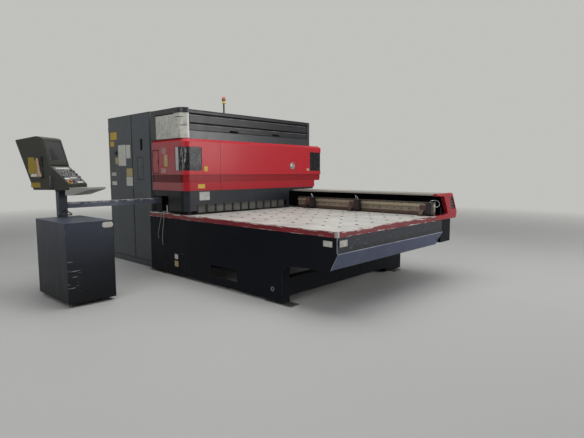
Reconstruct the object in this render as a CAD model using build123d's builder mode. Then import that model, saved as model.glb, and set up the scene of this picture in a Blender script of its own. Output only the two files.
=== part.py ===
from build123d import *

# Laser cutting machine with a clamp carriage that pulls the sheet along under a bridge.
# Sizes are in millimetres. The origin is on the floor, under the middle of the cutting head's
# travel. +X runs along the table to its free end, +Y towards the clamp carriage, +Z is up.
# The operator stands on the -Y side.
import os
from math import cos, radians, sin

os.makedirs("parts", exist_ok=True)

LOW = (Align.MIN, Align.MIN, Align.MIN)
ON_FLOOR = (Align.CENTER, Align.CENTER, Align.MIN)
RUNNING_GAP = 0.3

# Table and base
PASS_LINE = 900.0
TOP_PLATE = 12.0
TABLE_REACH = 3100.0
OUTFEED_REACH = 2650.0
NEAR_REACH = 1150.0
TABLE_FAR_EDGE = 1045.0
STRIP = 12.0
STRIP_LIP = 30.0
STRIP_PROUD = 4.0
STRIPE_LOW = 840.0
CORNER_CAP = 35.0
SKIN = 4.0
PANEL_SHEET = 8.0
PANEL_LOW = 30.0
RIDGE_HEIGHT = 671.0
APRON_LOW = 491.0
APRON_TUCK = 93.0
APRON_FAR = 1245.0
RIDGE_STEP = 15.0

# Bridge
BASE_BACK = -492.5
BRIDGE_FRONT = 492.5
BRIDGE_BACK = -335.0
BRIDGE_NEAR = 1178.0
BRIDGE_FAR = 1756.0
COWL_LOW = 1240.0
COWL_HIGH = 1965.0
COWL_SKIN = 6.0
COWL_BEVEL = 36.0
CORNER_ROUND = 80.0
NEAR_ROUND = 106.0
BAND_LOW = 1356.0
BAND_HIGH = 1466.0
BAND_DEPTH = 10.0
SEAM = 4.0
SEAM_NEAR = -548.0
SEAM_FAR = 1127.0
WINDOW_LOW = 1522.0
WINDOW_HIGH = 1852.0
WINDOW_BACK = 279.0
WINDOW_NEAR_EDGE = -876.0
WINDOW_FAR_EDGE = 1458.0
PANE = 5.0
PANE_LAP = 15.0
COWL_FAR_FOOT = 1580.0
BAND_TAPER = 24.0

# Hood on the bridge
HOOD_SET_BACK = 40.0
HOOD_HIGH = 2368.0
HOOD_FAR = 1484.0
HOOD_NEAR = -1141.0
END_COVER_FACE = -1174.0
END_COVER_HIGH = 2388.0
END_COVER_SKIN = 5.0
HATCH_LOW = 2078.0
HATCH_GAP = 3.0
HATCH_THICK = 20.0

# Carriage side
GUIDE_NEAR = 1060.0
GUIDE_FAR = 1550.0
GUIDE_LOW = 520.0
GUIDE_HIGH = 870.0
GUIDE_WALL = 10.0
RAIL_HIGH = 22.0
RAIL_WIDE = 40.0
COVER_TOP = 1200.0
COVER_SHEET = 12.0
CARRIAGE_START = 560.0
CARRIAGE_END = 3040.0
CARRIAGE_FRONT = 1075.0
CARRIAGE_TOP = 1085.0
HOUSING_DEPTH = 55.0
X_TRAVEL = 2520.0

# Cutting head
HEAD_TIP = 935.0
Y_TRAVEL = 1550.0
BEAM_BACK = -310.0
BEAM_FRONT = -150.0

# Operator station
CONSOLE_TURN = 32.0
CONSOLE_WIDE = 353.0
POST_X = -330.0
POST_Y = -2485.0
POST_SIZE = 105.0
DUCT_TOP = 1107.0
DUCT_HIGH = 68.0
DUCT_WIDE = 110.0
DUCT_LEFT = -405.0
STATION_FRONT = 705.0
STATION_BACK = -200.0
STATION_NEAR = -2845.0
STATION_FAR = -2305.0
STATION_HIGH = 945.0
STATION_FOOT = 42.0
DOOR_SKIN = 20.0

# Power cabinets
POWER_RIGHT = -563.0
POWER_SEAM = -1120.0
POWER_LEFT = -1920.0
POWER_FACE = -1070.0
POWER_BACK = -600.0
POWER_HIGH = 2425.0
POWER_LOW = 100.0
POWER_SHEET = 4.0

# Worked out from the sizes above
bridge_depth = BRIDGE_FRONT - BRIDGE_BACK
table_face = -NEAR_REACH
panel_face = table_face + STRIP_PROUD
plate_near = table_face + STRIP
plate_end = TABLE_REACH - STRIP
frame_near = plate_near
hood_front = BRIDGE_FRONT - HOOD_SET_BACK
rail_top = GUIDE_HIGH + RAIL_HIGH
slab_low = rail_top + RUNNING_GAP
housing_start = TABLE_REACH - HOUSING_DEPTH
guide_end = housing_start
tail = -OUTFEED_REACH

# Hinges: three knuckles on one pin, the middle one on the door
KNUCKLE = 5.0
KNUCKLE_LONG = 22.0
HINGE_PIN = 3.0
HINGE_FIT = 0.05


def door_knuckles(places):
    """Adds the door's knuckle at each place and cuts the door free of the frame's two."""
    for place in places:
        with Locations(place):
            Cylinder(KNUCKLE, KNUCKLE_LONG - 2 * RUNNING_GAP)
            with Locations((0, 0, -KNUCKLE_LONG), (0, 0, KNUCKLE_LONG)):
                Cylinder(KNUCKLE + RUNNING_GAP, KNUCKLE_LONG + 2 * RUNNING_GAP, mode=Mode.SUBTRACT)
            Cylinder(HINGE_PIN + HINGE_FIT, 3 * KNUCKLE_LONG + 2, mode=Mode.SUBTRACT)


def frame_knuckles(places, leaf):
    """Adds the frame's two knuckles, their leaves and the pin. The leaf is x0, y0, x1, y1."""
    for place in places:
        with Locations(place):
            Cylinder(KNUCKLE + RUNNING_GAP, KNUCKLE_LONG, mode=Mode.SUBTRACT)
            with Locations((0, 0, -KNUCKLE_LONG), (0, 0, KNUCKLE_LONG)):
                Cylinder(KNUCKLE, KNUCKLE_LONG)
                with Locations((leaf[0], leaf[1], -KNUCKLE_LONG / 2)):
                    Box(leaf[2] - leaf[0], leaf[3] - leaf[1], KNUCKLE_LONG, align=LOW)
            Cylinder(HINGE_PIN, 3 * KNUCKLE_LONG)


# The welded base: legs, top members that carry the table plates, and the low cross tie
LEG_WIDE = 136.0
LEG_RIGHT = 2326.0
LEG_DEEP = 118.0
FOOT_HIGH = 15.0
MEMBER = 100.0
MEMBER_LOW = 770.0
FAR_LEG_NEAR = 1120.0
FAR_LEG_DEEP = 428.0
FAR_LEG_WIDE = 256.0
FAR_LEG_RIGHT = 2286.0
BRIDGE_LEG = 200.0
TIE_LOW = 85.0
TIE_HIGH = 288.0
TIE_THICK = 100.0
TIE_BAR_LOW = 222.0
TIE_BAR = 26.0
CHANNEL_WIDE = 300.0
CHANNEL_REACH = 930.0
CHANNEL_LOW = 560.0
PEDESTAL = 160.0
member_under = PASS_LINE - TOP_PLATE
member_high = member_under - MEMBER_LOW
near_legs = (LEG_RIGHT - SKIN - LEG_WIDE, BASE_BACK + 90)
far_legs = (FAR_LEG_RIGHT - FAR_LEG_WIDE, BASE_BACK + 60, tail + 200)
cross_members = (BASE_BACK, BRIDGE_FRONT - MEMBER, 1250.0, LEG_RIGHT - MEMBER, 2890.0)
far_member = TABLE_FAR_EDGE - MEMBER
with BuildPart() as base_frame:
    for x in near_legs:
        with Locations((x, frame_near, FOOT_HIGH)):
            Box(LEG_WIDE, LEG_DEEP, MEMBER_LOW - FOOT_HIGH, align=LOW)
    for x in far_legs:
        with Locations((x, FAR_LEG_NEAR, FOOT_HIGH)):
            Box(FAR_LEG_WIDE, FAR_LEG_DEEP, GUIDE_LOW - FOOT_HIGH, align=LOW)
    for y in (frame_near, far_member):
        with Locations((BASE_BACK, y, MEMBER_LOW)):
            Box(2990.0 - BASE_BACK, MEMBER, member_high, align=LOW)
    for x in cross_members:
        with Locations((x, frame_near, MEMBER_LOW)):
            Box(MEMBER, TABLE_FAR_EDGE - frame_near, member_high, align=LOW)
    with Locations((LEG_RIGHT - SKIN - TIE_THICK, frame_near, TIE_LOW)):
        Box(TIE_THICK, 150.0, TIE_HIGH - TIE_LOW, align=LOW)
    # The cross tie runs from the near leg to the far one, and steps back to reach it
    with Locations((FAR_LEG_RIGHT - TIE_THICK, frame_near + 100, TIE_LOW)):
        Box(TIE_THICK + LEG_RIGHT - SKIN - FAR_LEG_RIGHT, FAR_LEG_NEAR - frame_near - 50,
            TIE_HIGH - TIE_LOW, align=LOW)
    with Locations((near_legs[1] + LEG_WIDE, frame_near + LEG_DEEP - TIE_BAR, TIE_BAR_LOW)):
        Box(near_legs[0] - near_legs[1] - LEG_WIDE, TIE_BAR, TIE_BAR, align=LOW)
    # Scrap channel under the cutting slot, on a pedestal in the middle
    with Locations((-CHANNEL_WIDE / 2, -CHANNEL_REACH, CHANNEL_LOW)):
        Box(CHANNEL_WIDE, 2 * CHANNEL_REACH, member_under - CHANNEL_LOW, align=LOW)
    with Locations((-CHANNEL_WIDE / 2 + SKIN, -CHANNEL_REACH + SKIN, CHANNEL_LOW + SKIN)):
        Box(CHANNEL_WIDE - 2 * SKIN, 2 * CHANNEL_REACH - 2 * SKIN, member_under - CHANNEL_LOW,
            align=LOW, mode=Mode.SUBTRACT)
    with Locations((0, 0, FOOT_HIGH)):
        Box(PEDESTAL, PEDESTAL, CHANNEL_LOW - FOOT_HIGH, align=ON_FLOOR)
    for y in (-CHANNEL_REACH, CHANNEL_REACH - MEMBER):
        with Locations((BASE_BACK, y, CHANNEL_LOW)):
            Box(-CHANNEL_WIDE / 2 - BASE_BACK, MEMBER, 60, align=LOW)
        with Locations((BASE_BACK, y, CHANNEL_LOW)):
            Box(MEMBER, MEMBER, MEMBER_LOW - CHANNEL_LOW, align=LOW)
    # Two bearers join the near members to the guide box on its legs
    for x in (near_legs[1], near_legs[0] - 40.0):
        with Locations((x, far_member, GUIDE_LOW + 90)):
            Box(LEG_WIDE, GUIDE_NEAR - far_member, MEMBER_LOW - GUIDE_LOW - 90, align=LOW)
base_frame.part.label = "base_frame"
export_step(base_frame.part, "parts/base_frame.step")


# Levelling feet: a plate and a screw under each leg, and the small feet of the station cabinet
FOOT_LONG = 426.0
FOOT_DEEP = 150.0
FOOT_PLATE = 9.0
SCREW_RADIUS = 16.0
SMALL_FOOT = 22.0
foot_spots = [(x + LEG_WIDE / 2, frame_near + LEG_DEEP / 2) for x in near_legs]
foot_spots += [(x + FAR_LEG_WIDE / 2, FAR_LEG_NEAR + FAR_LEG_DEEP / 2) for x in far_legs]
foot_spots.append((0.0, 0.0))
station_feet = [(x, y) for x in (STATION_BACK + 50, STATION_FRONT - 70)
                for y in (STATION_NEAR + 50, STATION_FAR - 50)]
with BuildPart() as levelling_feet:
    with Locations(*[(x, y, 0) for x, y in foot_spots]):
        Box(FOOT_LONG, FOOT_DEEP, FOOT_PLATE, align=ON_FLOOR)
        Cylinder(SCREW_RADIUS, FOOT_HIGH, align=ON_FLOOR)
    with Locations(*[(x, y, 0) for x, y in station_feet]):
        Cylinder(SMALL_FOOT, 8.0, align=ON_FLOOR)
        Cylinder(SMALL_FOOT / 3, STATION_FOOT, align=ON_FLOOR)
levelling_feet.part.label = "levelling_feet"
export_step(levelling_feet.part, "parts/levelling_feet.step")


# Near side panel: one folded sheet with the arch beside the leg, a window and a service hole
ARCH_HIGH = 455.0
ARCH_FOOT = 65.0
ARCH_ROUND = 60.0
SLOT_LEFT, SLOT_RIGHT = 1000.0, 1540.0
SLOT_LOW, SLOT_HIGH = 137.0, 285.0
HOLE_LEFT, HOLE_RIGHT = -70.0, 400.0
HOLE_LOW, HOLE_HIGH = 48.0, 345.0
PLUG_X, PLUG_Z, PLUG_RADIUS = 2174.0, 160.0, 21.0
DOOR_GAP = 3.0
service_hinges = [Location((HOLE_LEFT + DOOR_GAP, panel_face, z)) for z in (HOLE_LOW + 60, HOLE_HIGH - 60)]
with BuildPart() as side_panel:
    with BuildSketch(Plane.XZ.offset(-plate_near)) as side_outline:
        with BuildLine():
            Polyline(
                (BASE_BACK, PANEL_LOW), (LEG_RIGHT, PANEL_LOW),
                (LEG_RIGHT, ARCH_HIGH - ARCH_FOOT), (LEG_RIGHT + ARCH_FOOT, ARCH_HIGH),
                (TABLE_REACH - APRON_TUCK, APRON_LOW), (TABLE_REACH, RIDGE_HEIGHT),
                (TABLE_REACH - RIDGE_STEP, RIDGE_HEIGHT + 14),
                (TABLE_REACH - RIDGE_STEP, STRIPE_LOW), (BASE_BACK, STRIPE_LOW), close=True)
        make_face()
        arch_corners = side_outline.vertices().filter_by_position(Axis.X, LEG_RIGHT - 1, LEG_RIGHT + 80)
        fillet(arch_corners.filter_by_position(Axis.Y, ARCH_HIGH - 90, ARCH_HIGH + 1), ARCH_ROUND)
        with Locations(((SLOT_LEFT + SLOT_RIGHT) / 2, (SLOT_LOW + SLOT_HIGH) / 2)):
            RectangleRounded(SLOT_RIGHT - SLOT_LEFT, SLOT_HIGH - SLOT_LOW, 12, mode=Mode.SUBTRACT)
        with Locations(((HOLE_LEFT + HOLE_RIGHT) / 2, (HOLE_LOW + HOLE_HIGH) / 2)):
            Rectangle(HOLE_RIGHT - HOLE_LEFT, HOLE_HIGH - HOLE_LOW, mode=Mode.SUBTRACT)
    extrude(amount=PANEL_SHEET)
    with BuildSketch(Plane.XZ.offset(-panel_face)):
        with Locations((PLUG_X, PLUG_Z)):
            Circle(PLUG_RADIUS)
            Circle(PLUG_RADIUS - 6, mode=Mode.SUBTRACT)
    extrude(amount=3)
    frame_knuckles(service_hinges, (-8.0, -2.0, -1.0, 8.0))
side_panel.part.label = "side_panel"
export_step(side_panel.part, "parts/side_panel.step")


# Service door low in the side panel, hung on its left edge
with BuildPart() as service_door:
    with BuildSketch(Plane.XZ.offset(-panel_face - SKIN)):
        with Locations(((HOLE_LEFT + HOLE_RIGHT) / 2, (HOLE_LOW + HOLE_HIGH) / 2)):
            Rectangle(HOLE_RIGHT - HOLE_LEFT - 2 * DOOR_GAP, HOLE_HIGH - HOLE_LOW - 2 * DOOR_GAP)
    extrude(amount=SKIN)
    with BuildSketch(Plane.XZ.offset(-panel_face)):
        with Locations((HOLE_RIGHT - 45, HOLE_HIGH - 60)):
            SlotOverall(40, 16, rotation=90)
    extrude(amount=6)
    with Locations((HOLE_LEFT + DOOR_GAP, panel_face + SKIN, HOLE_LOW + DOOR_GAP + 4)):
        Box(HOLE_RIGHT - HOLE_LEFT - 2 * DOOR_GAP - 6, 14, 8, align=LOW)
    door_knuckles(service_hinges)
service_door.part.label = "service_door"
export_step(service_door.part, "parts/service_door.step")


# End apron: a folded sheet, upright above its ridge and tucked in below it
with BuildPart() as end_apron:
    with BuildSketch(Plane.XZ.offset(-plate_near)):
        with BuildLine():
            Polyline(
                (TABLE_REACH - RIDGE_STEP, STRIPE_LOW),
                (TABLE_REACH - RIDGE_STEP, RIDGE_HEIGHT + 14), (TABLE_REACH, RIDGE_HEIGHT),
                (TABLE_REACH - APRON_TUCK, APRON_LOW),
                (TABLE_REACH - APRON_TUCK - 40, APRON_LOW),
                (TABLE_REACH - APRON_TUCK - 40, APRON_LOW + SKIN),
                (TABLE_REACH - APRON_TUCK - 2, APRON_LOW + SKIN),
                (TABLE_REACH - 8, RIDGE_HEIGHT),
                (TABLE_REACH - RIDGE_STEP - SKIN, RIDGE_HEIGHT + 12),
                (TABLE_REACH - RIDGE_STEP - SKIN, STRIPE_LOW), close=True)
        make_face()
    extrude(amount=-(APRON_FAR - plate_near))
end_apron.part.label = "end_apron"
export_step(end_apron.part, "parts/end_apron.step")


# Red edge strip along the near side and the free end: an angle whose lip covers the plate's edge
with BuildPart() as edge_strip:
    with Locations((BASE_BACK, table_face, STRIPE_LOW)):
        Box(TABLE_REACH - CORNER_CAP - BASE_BACK, STRIP, PASS_LINE + STRIP_PROUD - STRIPE_LOW, align=LOW)
    with Locations((BASE_BACK, table_face, PASS_LINE)):
        Box(TABLE_REACH - CORNER_CAP - BASE_BACK, STRIP_LIP, STRIP_PROUD, align=LOW)
    with Locations((plate_end, table_face + CORNER_CAP, STRIPE_LOW)):
        Box(STRIP, TABLE_FAR_EDGE - table_face - CORNER_CAP,
            PASS_LINE + STRIP_PROUD - STRIPE_LOW, align=LOW)
    with Locations((TABLE_REACH - STRIP_LIP, table_face + CORNER_CAP, PASS_LINE)):
        Box(STRIP_LIP, TABLE_FAR_EDGE - table_face - CORNER_CAP, STRIP_PROUD, align=LOW)
    outer_edges = edge_strip.edges().filter_by_position(Axis.Z, PASS_LINE + 3, PASS_LINE + 5)
    chamfer(outer_edges.filter_by(Axis.X).group_by(Axis.Y)[0], 3)
    chamfer(edge_strip.edges().filter_by(Axis.Y).filter_by_position(
        Axis.Z, PASS_LINE + 3, PASS_LINE + 5).group_by(Axis.X)[-1], 3)
edge_strip.part.label = "edge_strip"
export_step(edge_strip.part, "parts/edge_strip.step")


# Bare metal cap on the table's near corner
with BuildPart() as corner_cap:
    with BuildSketch(Plane.XY.offset(STRIPE_LOW)) as cap_plan:
        with Locations((TABLE_REACH - CORNER_CAP, table_face)):
            Rectangle(CORNER_CAP, CORNER_CAP, align=(Align.MIN, Align.MIN))
        fillet(cap_plan.vertices().group_by(Axis.X)[-1].sort_by(Axis.Y)[0], 12)
    extrude(amount=PASS_LINE + STRIP_PROUD - STRIPE_LOW)
    with Locations((TABLE_REACH - CORNER_CAP, table_face + STRIP, STRIPE_LOW)):
        Box(CORNER_CAP - STRIP, CORNER_CAP, PASS_LINE - STRIPE_LOW, align=LOW, mode=Mode.SUBTRACT)
    fillet(corner_cap.edges().filter_by(GeomType.CIRCLE).group_by(Axis.Z)[-1], 2)
corner_cap.part.label = "corner_cap"
export_step(corner_cap.part, "parts/corner_cap.step")


# Table plates: the long infeed plate, and the bed under the bridge with its cutting slot
SLOT_WIDE = 70.0
SLOT_REACH = 830.0
with BuildPart() as table_top:
    with BuildSketch(Plane.XY.offset(PASS_LINE - TOP_PLATE)):
        with Locations((BRIDGE_FRONT + 2, plate_near)):
            Rectangle(plate_end - BRIDGE_FRONT - 2, TABLE_FAR_EDGE - plate_near,
                      align=(Align.MIN, Align.MIN))
        with Locations((BASE_BACK, plate_near)):
            Rectangle(BRIDGE_FRONT - BASE_BACK, TABLE_FAR_EDGE - plate_near, align=(Align.MIN, Align.MIN))
        with Locations((0, 0)):
            SlotCenterToCenter(2 * SLOT_REACH, SLOT_WIDE, rotation=90, mode=Mode.SUBTRACT)
    extrude(amount=TOP_PLATE)
table_top.part.label = "table_top"
export_step(table_top.part, "parts/table_top.step")


# Ball units let the sheet roll: low flanged discs in a square grid, and the plates' screw heads
BALL_PITCH_X = 231.0
BALL_PITCH_Y = 325.0
BALL_COLUMNS, BALL_ROWS = 10, 6
BALL_MIDDLE = (1812.0, 27.0)
BALL_RADIUS = 17.0
BALL_PROUD = 4.0
SCREW_COLUMNS = (1400.0, 2325.0, 2795.0)
SCREW_PITCH = 334.0
SCREW_ROWS = 5
SCREW_HEAD = 9.0
with BuildPart() as ball_units:
    with BuildSketch(Plane.XY.offset(PASS_LINE)):
        with Locations(BALL_MIDDLE):
            with GridLocations(BALL_PITCH_X, BALL_PITCH_Y, BALL_COLUMNS, BALL_ROWS):
                RegularPolygon(BALL_RADIUS, 12)
    extrude(amount=BALL_PROUD, taper=30)
    with BuildSketch(Plane.XY.offset(PASS_LINE)):
        for x in SCREW_COLUMNS:
            with Locations((x, 36)):
                with GridLocations(1, SCREW_PITCH, 1, SCREW_ROWS):
                    RegularPolygon(SCREW_HEAD, 8)
    extrude(amount=1.5)
ball_units.part.label = "ball_units"
export_step(ball_units.part, "parts/ball_units.step")


# Outfeed table behind the bridge: a plate with folded edges on two box legs
OUT_NEAR = POWER_BACK
OUT_LEG = 80.0
OUT_FOLD = 60.0
with BuildPart() as outfeed_table:
    with Locations((tail, OUT_NEAR, PASS_LINE - OUT_FOLD)):
        Box(OUTFEED_REACH + BASE_BACK, TABLE_FAR_EDGE - OUT_NEAR, OUT_FOLD, align=LOW)
    with Locations((tail + SKIN, OUT_NEAR + SKIN, PASS_LINE - OUT_FOLD)):
        Box(OUTFEED_REACH + BASE_BACK - 2 * SKIN, TABLE_FAR_EDGE - OUT_NEAR - 2 * SKIN,
            OUT_FOLD - SKIN, align=LOW, mode=Mode.SUBTRACT)
    for x in (tail + 120, tail + 1300):
        for y in (OUT_NEAR + 60, TABLE_FAR_EDGE - 60 - OUT_LEG):
            with Locations((x, y, 0)):
                Box(OUT_LEG, OUT_LEG, PASS_LINE - SKIN, align=LOW)
        with Locations((x, OUT_NEAR + 60, 150)):
            Box(OUT_LEG, TABLE_FAR_EDGE - OUT_NEAR - 120, OUT_LEG, align=LOW)
outfeed_table.part.label = "outfeed_table"
export_step(outfeed_table.part, "parts/outfeed_table.step")


# Guide box: the long hollow beam that the carriage runs on, with the upstand of its cover
UPSTAND = 12.0
UPSTAND_BACK = 1500.0
DRIVE_START = 2905.0
END_PLATE_LEFT = APRON_FAR + 5
APRON_BACK = TABLE_REACH - APRON_TUCK - 47
with BuildPart() as guide_box:
    with BuildSketch(Plane.YZ.offset(tail)):
        with BuildLine():
            Polyline(
                (GUIDE_NEAR, GUIDE_LOW), (GUIDE_FAR, GUIDE_LOW), (GUIDE_FAR, GUIDE_HIGH),
                (UPSTAND_BACK, GUIDE_HIGH), (UPSTAND_BACK, COVER_TOP - COVER_SHEET),
                (UPSTAND_BACK - UPSTAND, COVER_TOP - COVER_SHEET),
                (UPSTAND_BACK - UPSTAND, GUIDE_HIGH), (GUIDE_NEAR, GUIDE_HIGH), close=True)
        make_face()
        with Locations((GUIDE_NEAR + GUIDE_WALL, GUIDE_LOW + GUIDE_WALL)):
            Rectangle(GUIDE_FAR - GUIDE_NEAR - 2 * GUIDE_WALL, GUIDE_HIGH - GUIDE_LOW - 2 * GUIDE_WALL,
                      align=(Align.MIN, Align.MIN), mode=Mode.SUBTRACT)
    extrude(amount=guide_end - tail)
    # The end steps back behind the apron, and a plate closes the part beyond it
    with Locations((APRON_BACK, GUIDE_NEAR, GUIDE_LOW)):
        Box(guide_end - APRON_BACK, END_PLATE_LEFT - GUIDE_NEAR, GUIDE_HIGH - GUIDE_WALL - GUIDE_LOW,
            align=LOW, mode=Mode.SUBTRACT)
    with Locations((guide_end, END_PLATE_LEFT, GUIDE_LOW)):
        Box(25, GUIDE_FAR - END_PLATE_LEFT, STRIPE_LOW - GUIDE_LOW, align=LOW)
    # Drive box on the guide's free end
    with Locations((DRIVE_START, 1300, GUIDE_HIGH)):
        Box(guide_end - 12 - DRIVE_START, 150, 140, align=LOW)
guide_box.part.label = "guide_box"
export_step(guide_box.part, "parts/guide_box.step")


# Linear rails: two under the carriage, two on the bridge beam for the head
RAIL_NEAR = 1130.0
RAIL_FAR = 1420.0
HEAD_RAIL_LOW = 1530.0
HEAD_RAIL_HIGH = 1750.0
HEAD_RAIL_THICK = 16.0
HEAD_RAIL_WIDE = 28.0
HEAD_RAIL_NEAR = -935.0
HEAD_RAIL_FAR = 1540.0
with BuildPart() as guide_rails:
    for y in (RAIL_NEAR, RAIL_FAR):
        rail_end = guide_end - 15 if y == RAIL_NEAR else DRIVE_START - 10
        with BuildSketch(Plane.YZ.offset(tail + 40)) as rail_section:
            with Locations((y, GUIDE_HIGH + RAIL_HIGH / 2)):
                Rectangle(RAIL_WIDE, RAIL_HIGH)
            chamfer(rail_section.vertices().group_by(Axis.Y)[-1], 5)
        extrude(amount=rail_end - tail - 40)
    for z in (HEAD_RAIL_LOW, HEAD_RAIL_HIGH):
        with Locations((BEAM_FRONT, HEAD_RAIL_NEAR, z)):
            Box(HEAD_RAIL_THICK, HEAD_RAIL_FAR - HEAD_RAIL_NEAR, HEAD_RAIL_WIDE, align=LOW)
guide_rails.part.label = "guide_rails"
export_step(guide_rails.part, "parts/guide_rails.step")


# Pale cover plate over the carriage's way, folded down along its front
COVER_LIP = 22.0
with BuildPart() as way_cover:
    with BuildSketch(Plane.YZ.offset(tail)):
        with BuildLine():
            Polyline(
                (TABLE_FAR_EDGE, COVER_TOP - COVER_LIP), (TABLE_FAR_EDGE, COVER_TOP),
                (UPSTAND_BACK, COVER_TOP), (UPSTAND_BACK, COVER_TOP - COVER_SHEET),
                (TABLE_FAR_EDGE + SKIN, COVER_TOP - COVER_SHEET),
                (TABLE_FAR_EDGE + SKIN, COVER_TOP - COVER_LIP), close=True)
        make_face()
    extrude(amount=guide_end - tail)
way_cover.part.label = "way_cover"
export_step(way_cover.part, "parts/way_cover.step")


# Red end housing: a leaning frame that closes the carriage's way, with a sunk grille
HOUSING_TOP_LEFT = 1058.0
HOUSING_FOOT_LEFT = TABLE_FAR_EDGE + 1
HOUSING_HIGH = COVER_TOP + 4
GRILLE_DEPTH = 28.0
grille_outline = ((1454.0, 1145.0), (1545.0, 1150.0), (1640.0, 975.0), (1500.0, 979.0))
with BuildPart() as end_housing:
    with BuildSketch(Plane.YZ.offset(housing_start)):
        with BuildLine():
            Polyline(
                (HOUSING_TOP_LEFT, HOUSING_HIGH), (1525, HOUSING_HIGH), (1690, 934),
                (1668, STRIPE_LOW), (HOUSING_FOOT_LEFT, STRIPE_LOW),
                (HOUSING_FOOT_LEFT, PASS_LINE + STRIP_PROUD), (1290, PASS_LINE + STRIP_PROUD + 2),
                (1385, PASS_LINE + 16), (1401, PASS_LINE + 34), (1280, 1142), (1255, 1164),
                (HOUSING_TOP_LEFT, 1172), close=True)
        make_face()
    extrude(amount=HOUSING_DEPTH)
    outer_face = end_housing.faces().sort_by(Axis.X)[-1]
    chamfer(outer_face.edges().sort_by(Edge.length)[-2:], 12)
    with BuildSketch(Plane.YZ.offset(TABLE_REACH)):
        with BuildLine():
            Polyline(*grille_outline, close=True)
        make_face()
    extrude(amount=-GRILLE_DEPTH, mode=Mode.SUBTRACT)
end_housing.part.label = "end_housing"
export_step(end_housing.part, "parts/end_housing.step")

# Grey grille in the housing: a back plate with four louvre blocks
LOUVRES = 4
with BuildPart() as housing_grille:
    with BuildSketch(Plane.YZ.offset(TABLE_REACH - GRILLE_DEPTH)):
        with BuildLine():
            Polyline(*grille_outline, close=True)
        make_face()
    extrude(amount=8)
    with BuildSketch(Plane.YZ.offset(TABLE_REACH - GRILLE_DEPTH + 8)):
        for row in range(LOUVRES):
            share = (row + 0.5) / LOUVRES
            middle_y = 1499.0 + 71.0 * share
            middle_z = 1148.0 - 172.0 * share
            with Locations((middle_y, middle_z)):
                Rectangle(72 + 34 * share, 24)
    extrude(amount=14)
    chamfer(housing_grille.faces().sort_by(Axis.X)[-1].edges(), 4)
housing_grille.part.label = "housing_grille"
export_step(housing_grille.part, "parts/housing_grille.step")


# Bridge frame: near and far columns and the cross beam that carries the head
COLUMN_NEAR = -1060.0
COLUMN_DEEP = 115.0
COLUMN_FOOT_BACK = -430.0
COLUMN_FRONT = 400.0
COLUMN_UPPER_FRONT = 150.0
COLUMN_HIGH = 1920.0
FAR_COLUMN_NEAR = 1556.0
FAR_COLUMN_DEEP = 110.0
FAR_COLUMN_FRONT = -60.0
CROSS_LOW, CROSS_HIGH = 1480.0, 1800.0
RECESS_LEFT, RECESS_RIGHT = -290.0, -50.0
NICHE_RIGHT = 70.0
NICHE_HIGH = 1158.0
HEADER_LOW = 1885.0
HEADER_FRONT = 425.0
HEADER = 60.0
header_high = COWL_HIGH - HEADER_LOW
with BuildPart() as bridge_frame:
    with Locations((BEAM_BACK, COLUMN_NEAR, PASS_LINE)):
        Box(COLUMN_FRONT - BEAM_BACK, COLUMN_DEEP, WINDOW_LOW - 40 - PASS_LINE, align=LOW)
    with Locations((BEAM_BACK, COLUMN_NEAR, WINDOW_LOW - 40)):
        Box(COLUMN_UPPER_FRONT - BEAM_BACK, COLUMN_DEEP, COLUMN_HIGH - WINDOW_LOW + 40, align=LOW)
    with Locations((COLUMN_FOOT_BACK, COLUMN_NEAR, PASS_LINE)):
        Box(BEAM_BACK - COLUMN_FOOT_BACK, COLUMN_DEEP, COWL_LOW - 10 - PASS_LINE, align=LOW)
    with Locations((RECESS_LEFT, COLUMN_NEAR, PASS_LINE)):
        Box(RECESS_RIGHT - RECESS_LEFT, 90, NICHE_HIGH - PASS_LINE, align=LOW, mode=Mode.SUBTRACT)
    with Locations((BEAM_BACK, FAR_COLUMN_NEAR, 0)):
        Box(FAR_COLUMN_FRONT - BEAM_BACK, FAR_COLUMN_DEEP, COLUMN_HIGH, align=LOW)
    with Locations((BEAM_BACK, COLUMN_NEAR + COLUMN_DEEP, CROSS_LOW)):
        Box(BEAM_FRONT - BEAM_BACK, FAR_COLUMN_NEAR - COLUMN_NEAR - COLUMN_DEEP,
            CROSS_HIGH - CROSS_LOW, align=LOW)
    # A ring of headers above the windows carries the hood
    header_near = -BRIDGE_NEAR + COWL_BEVEL + COWL_SKIN + 18
    for y in (header_near, HOOD_FAR - 90):
        with Locations((BEAM_BACK, y, HEADER_LOW)):
            Box(HEADER_FRONT - BEAM_BACK, HEADER, header_high, align=LOW)
    for x in (BEAM_BACK, HEADER_FRONT - HEADER):
        with Locations((x, header_near, HEADER_LOW)):
            Box(HEADER, HOOD_FAR - 30 - header_near, header_high, align=LOW)
    with Locations((BEAM_BACK, HOOD_FAR - 90, CROSS_HIGH)):
        Box(HEADER, HEADER, HEADER_LOW - CROSS_HIGH, align=LOW)
bridge_frame.part.label = "bridge_frame"
export_step(bridge_frame.part, "parts/bridge_frame.step")


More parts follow.
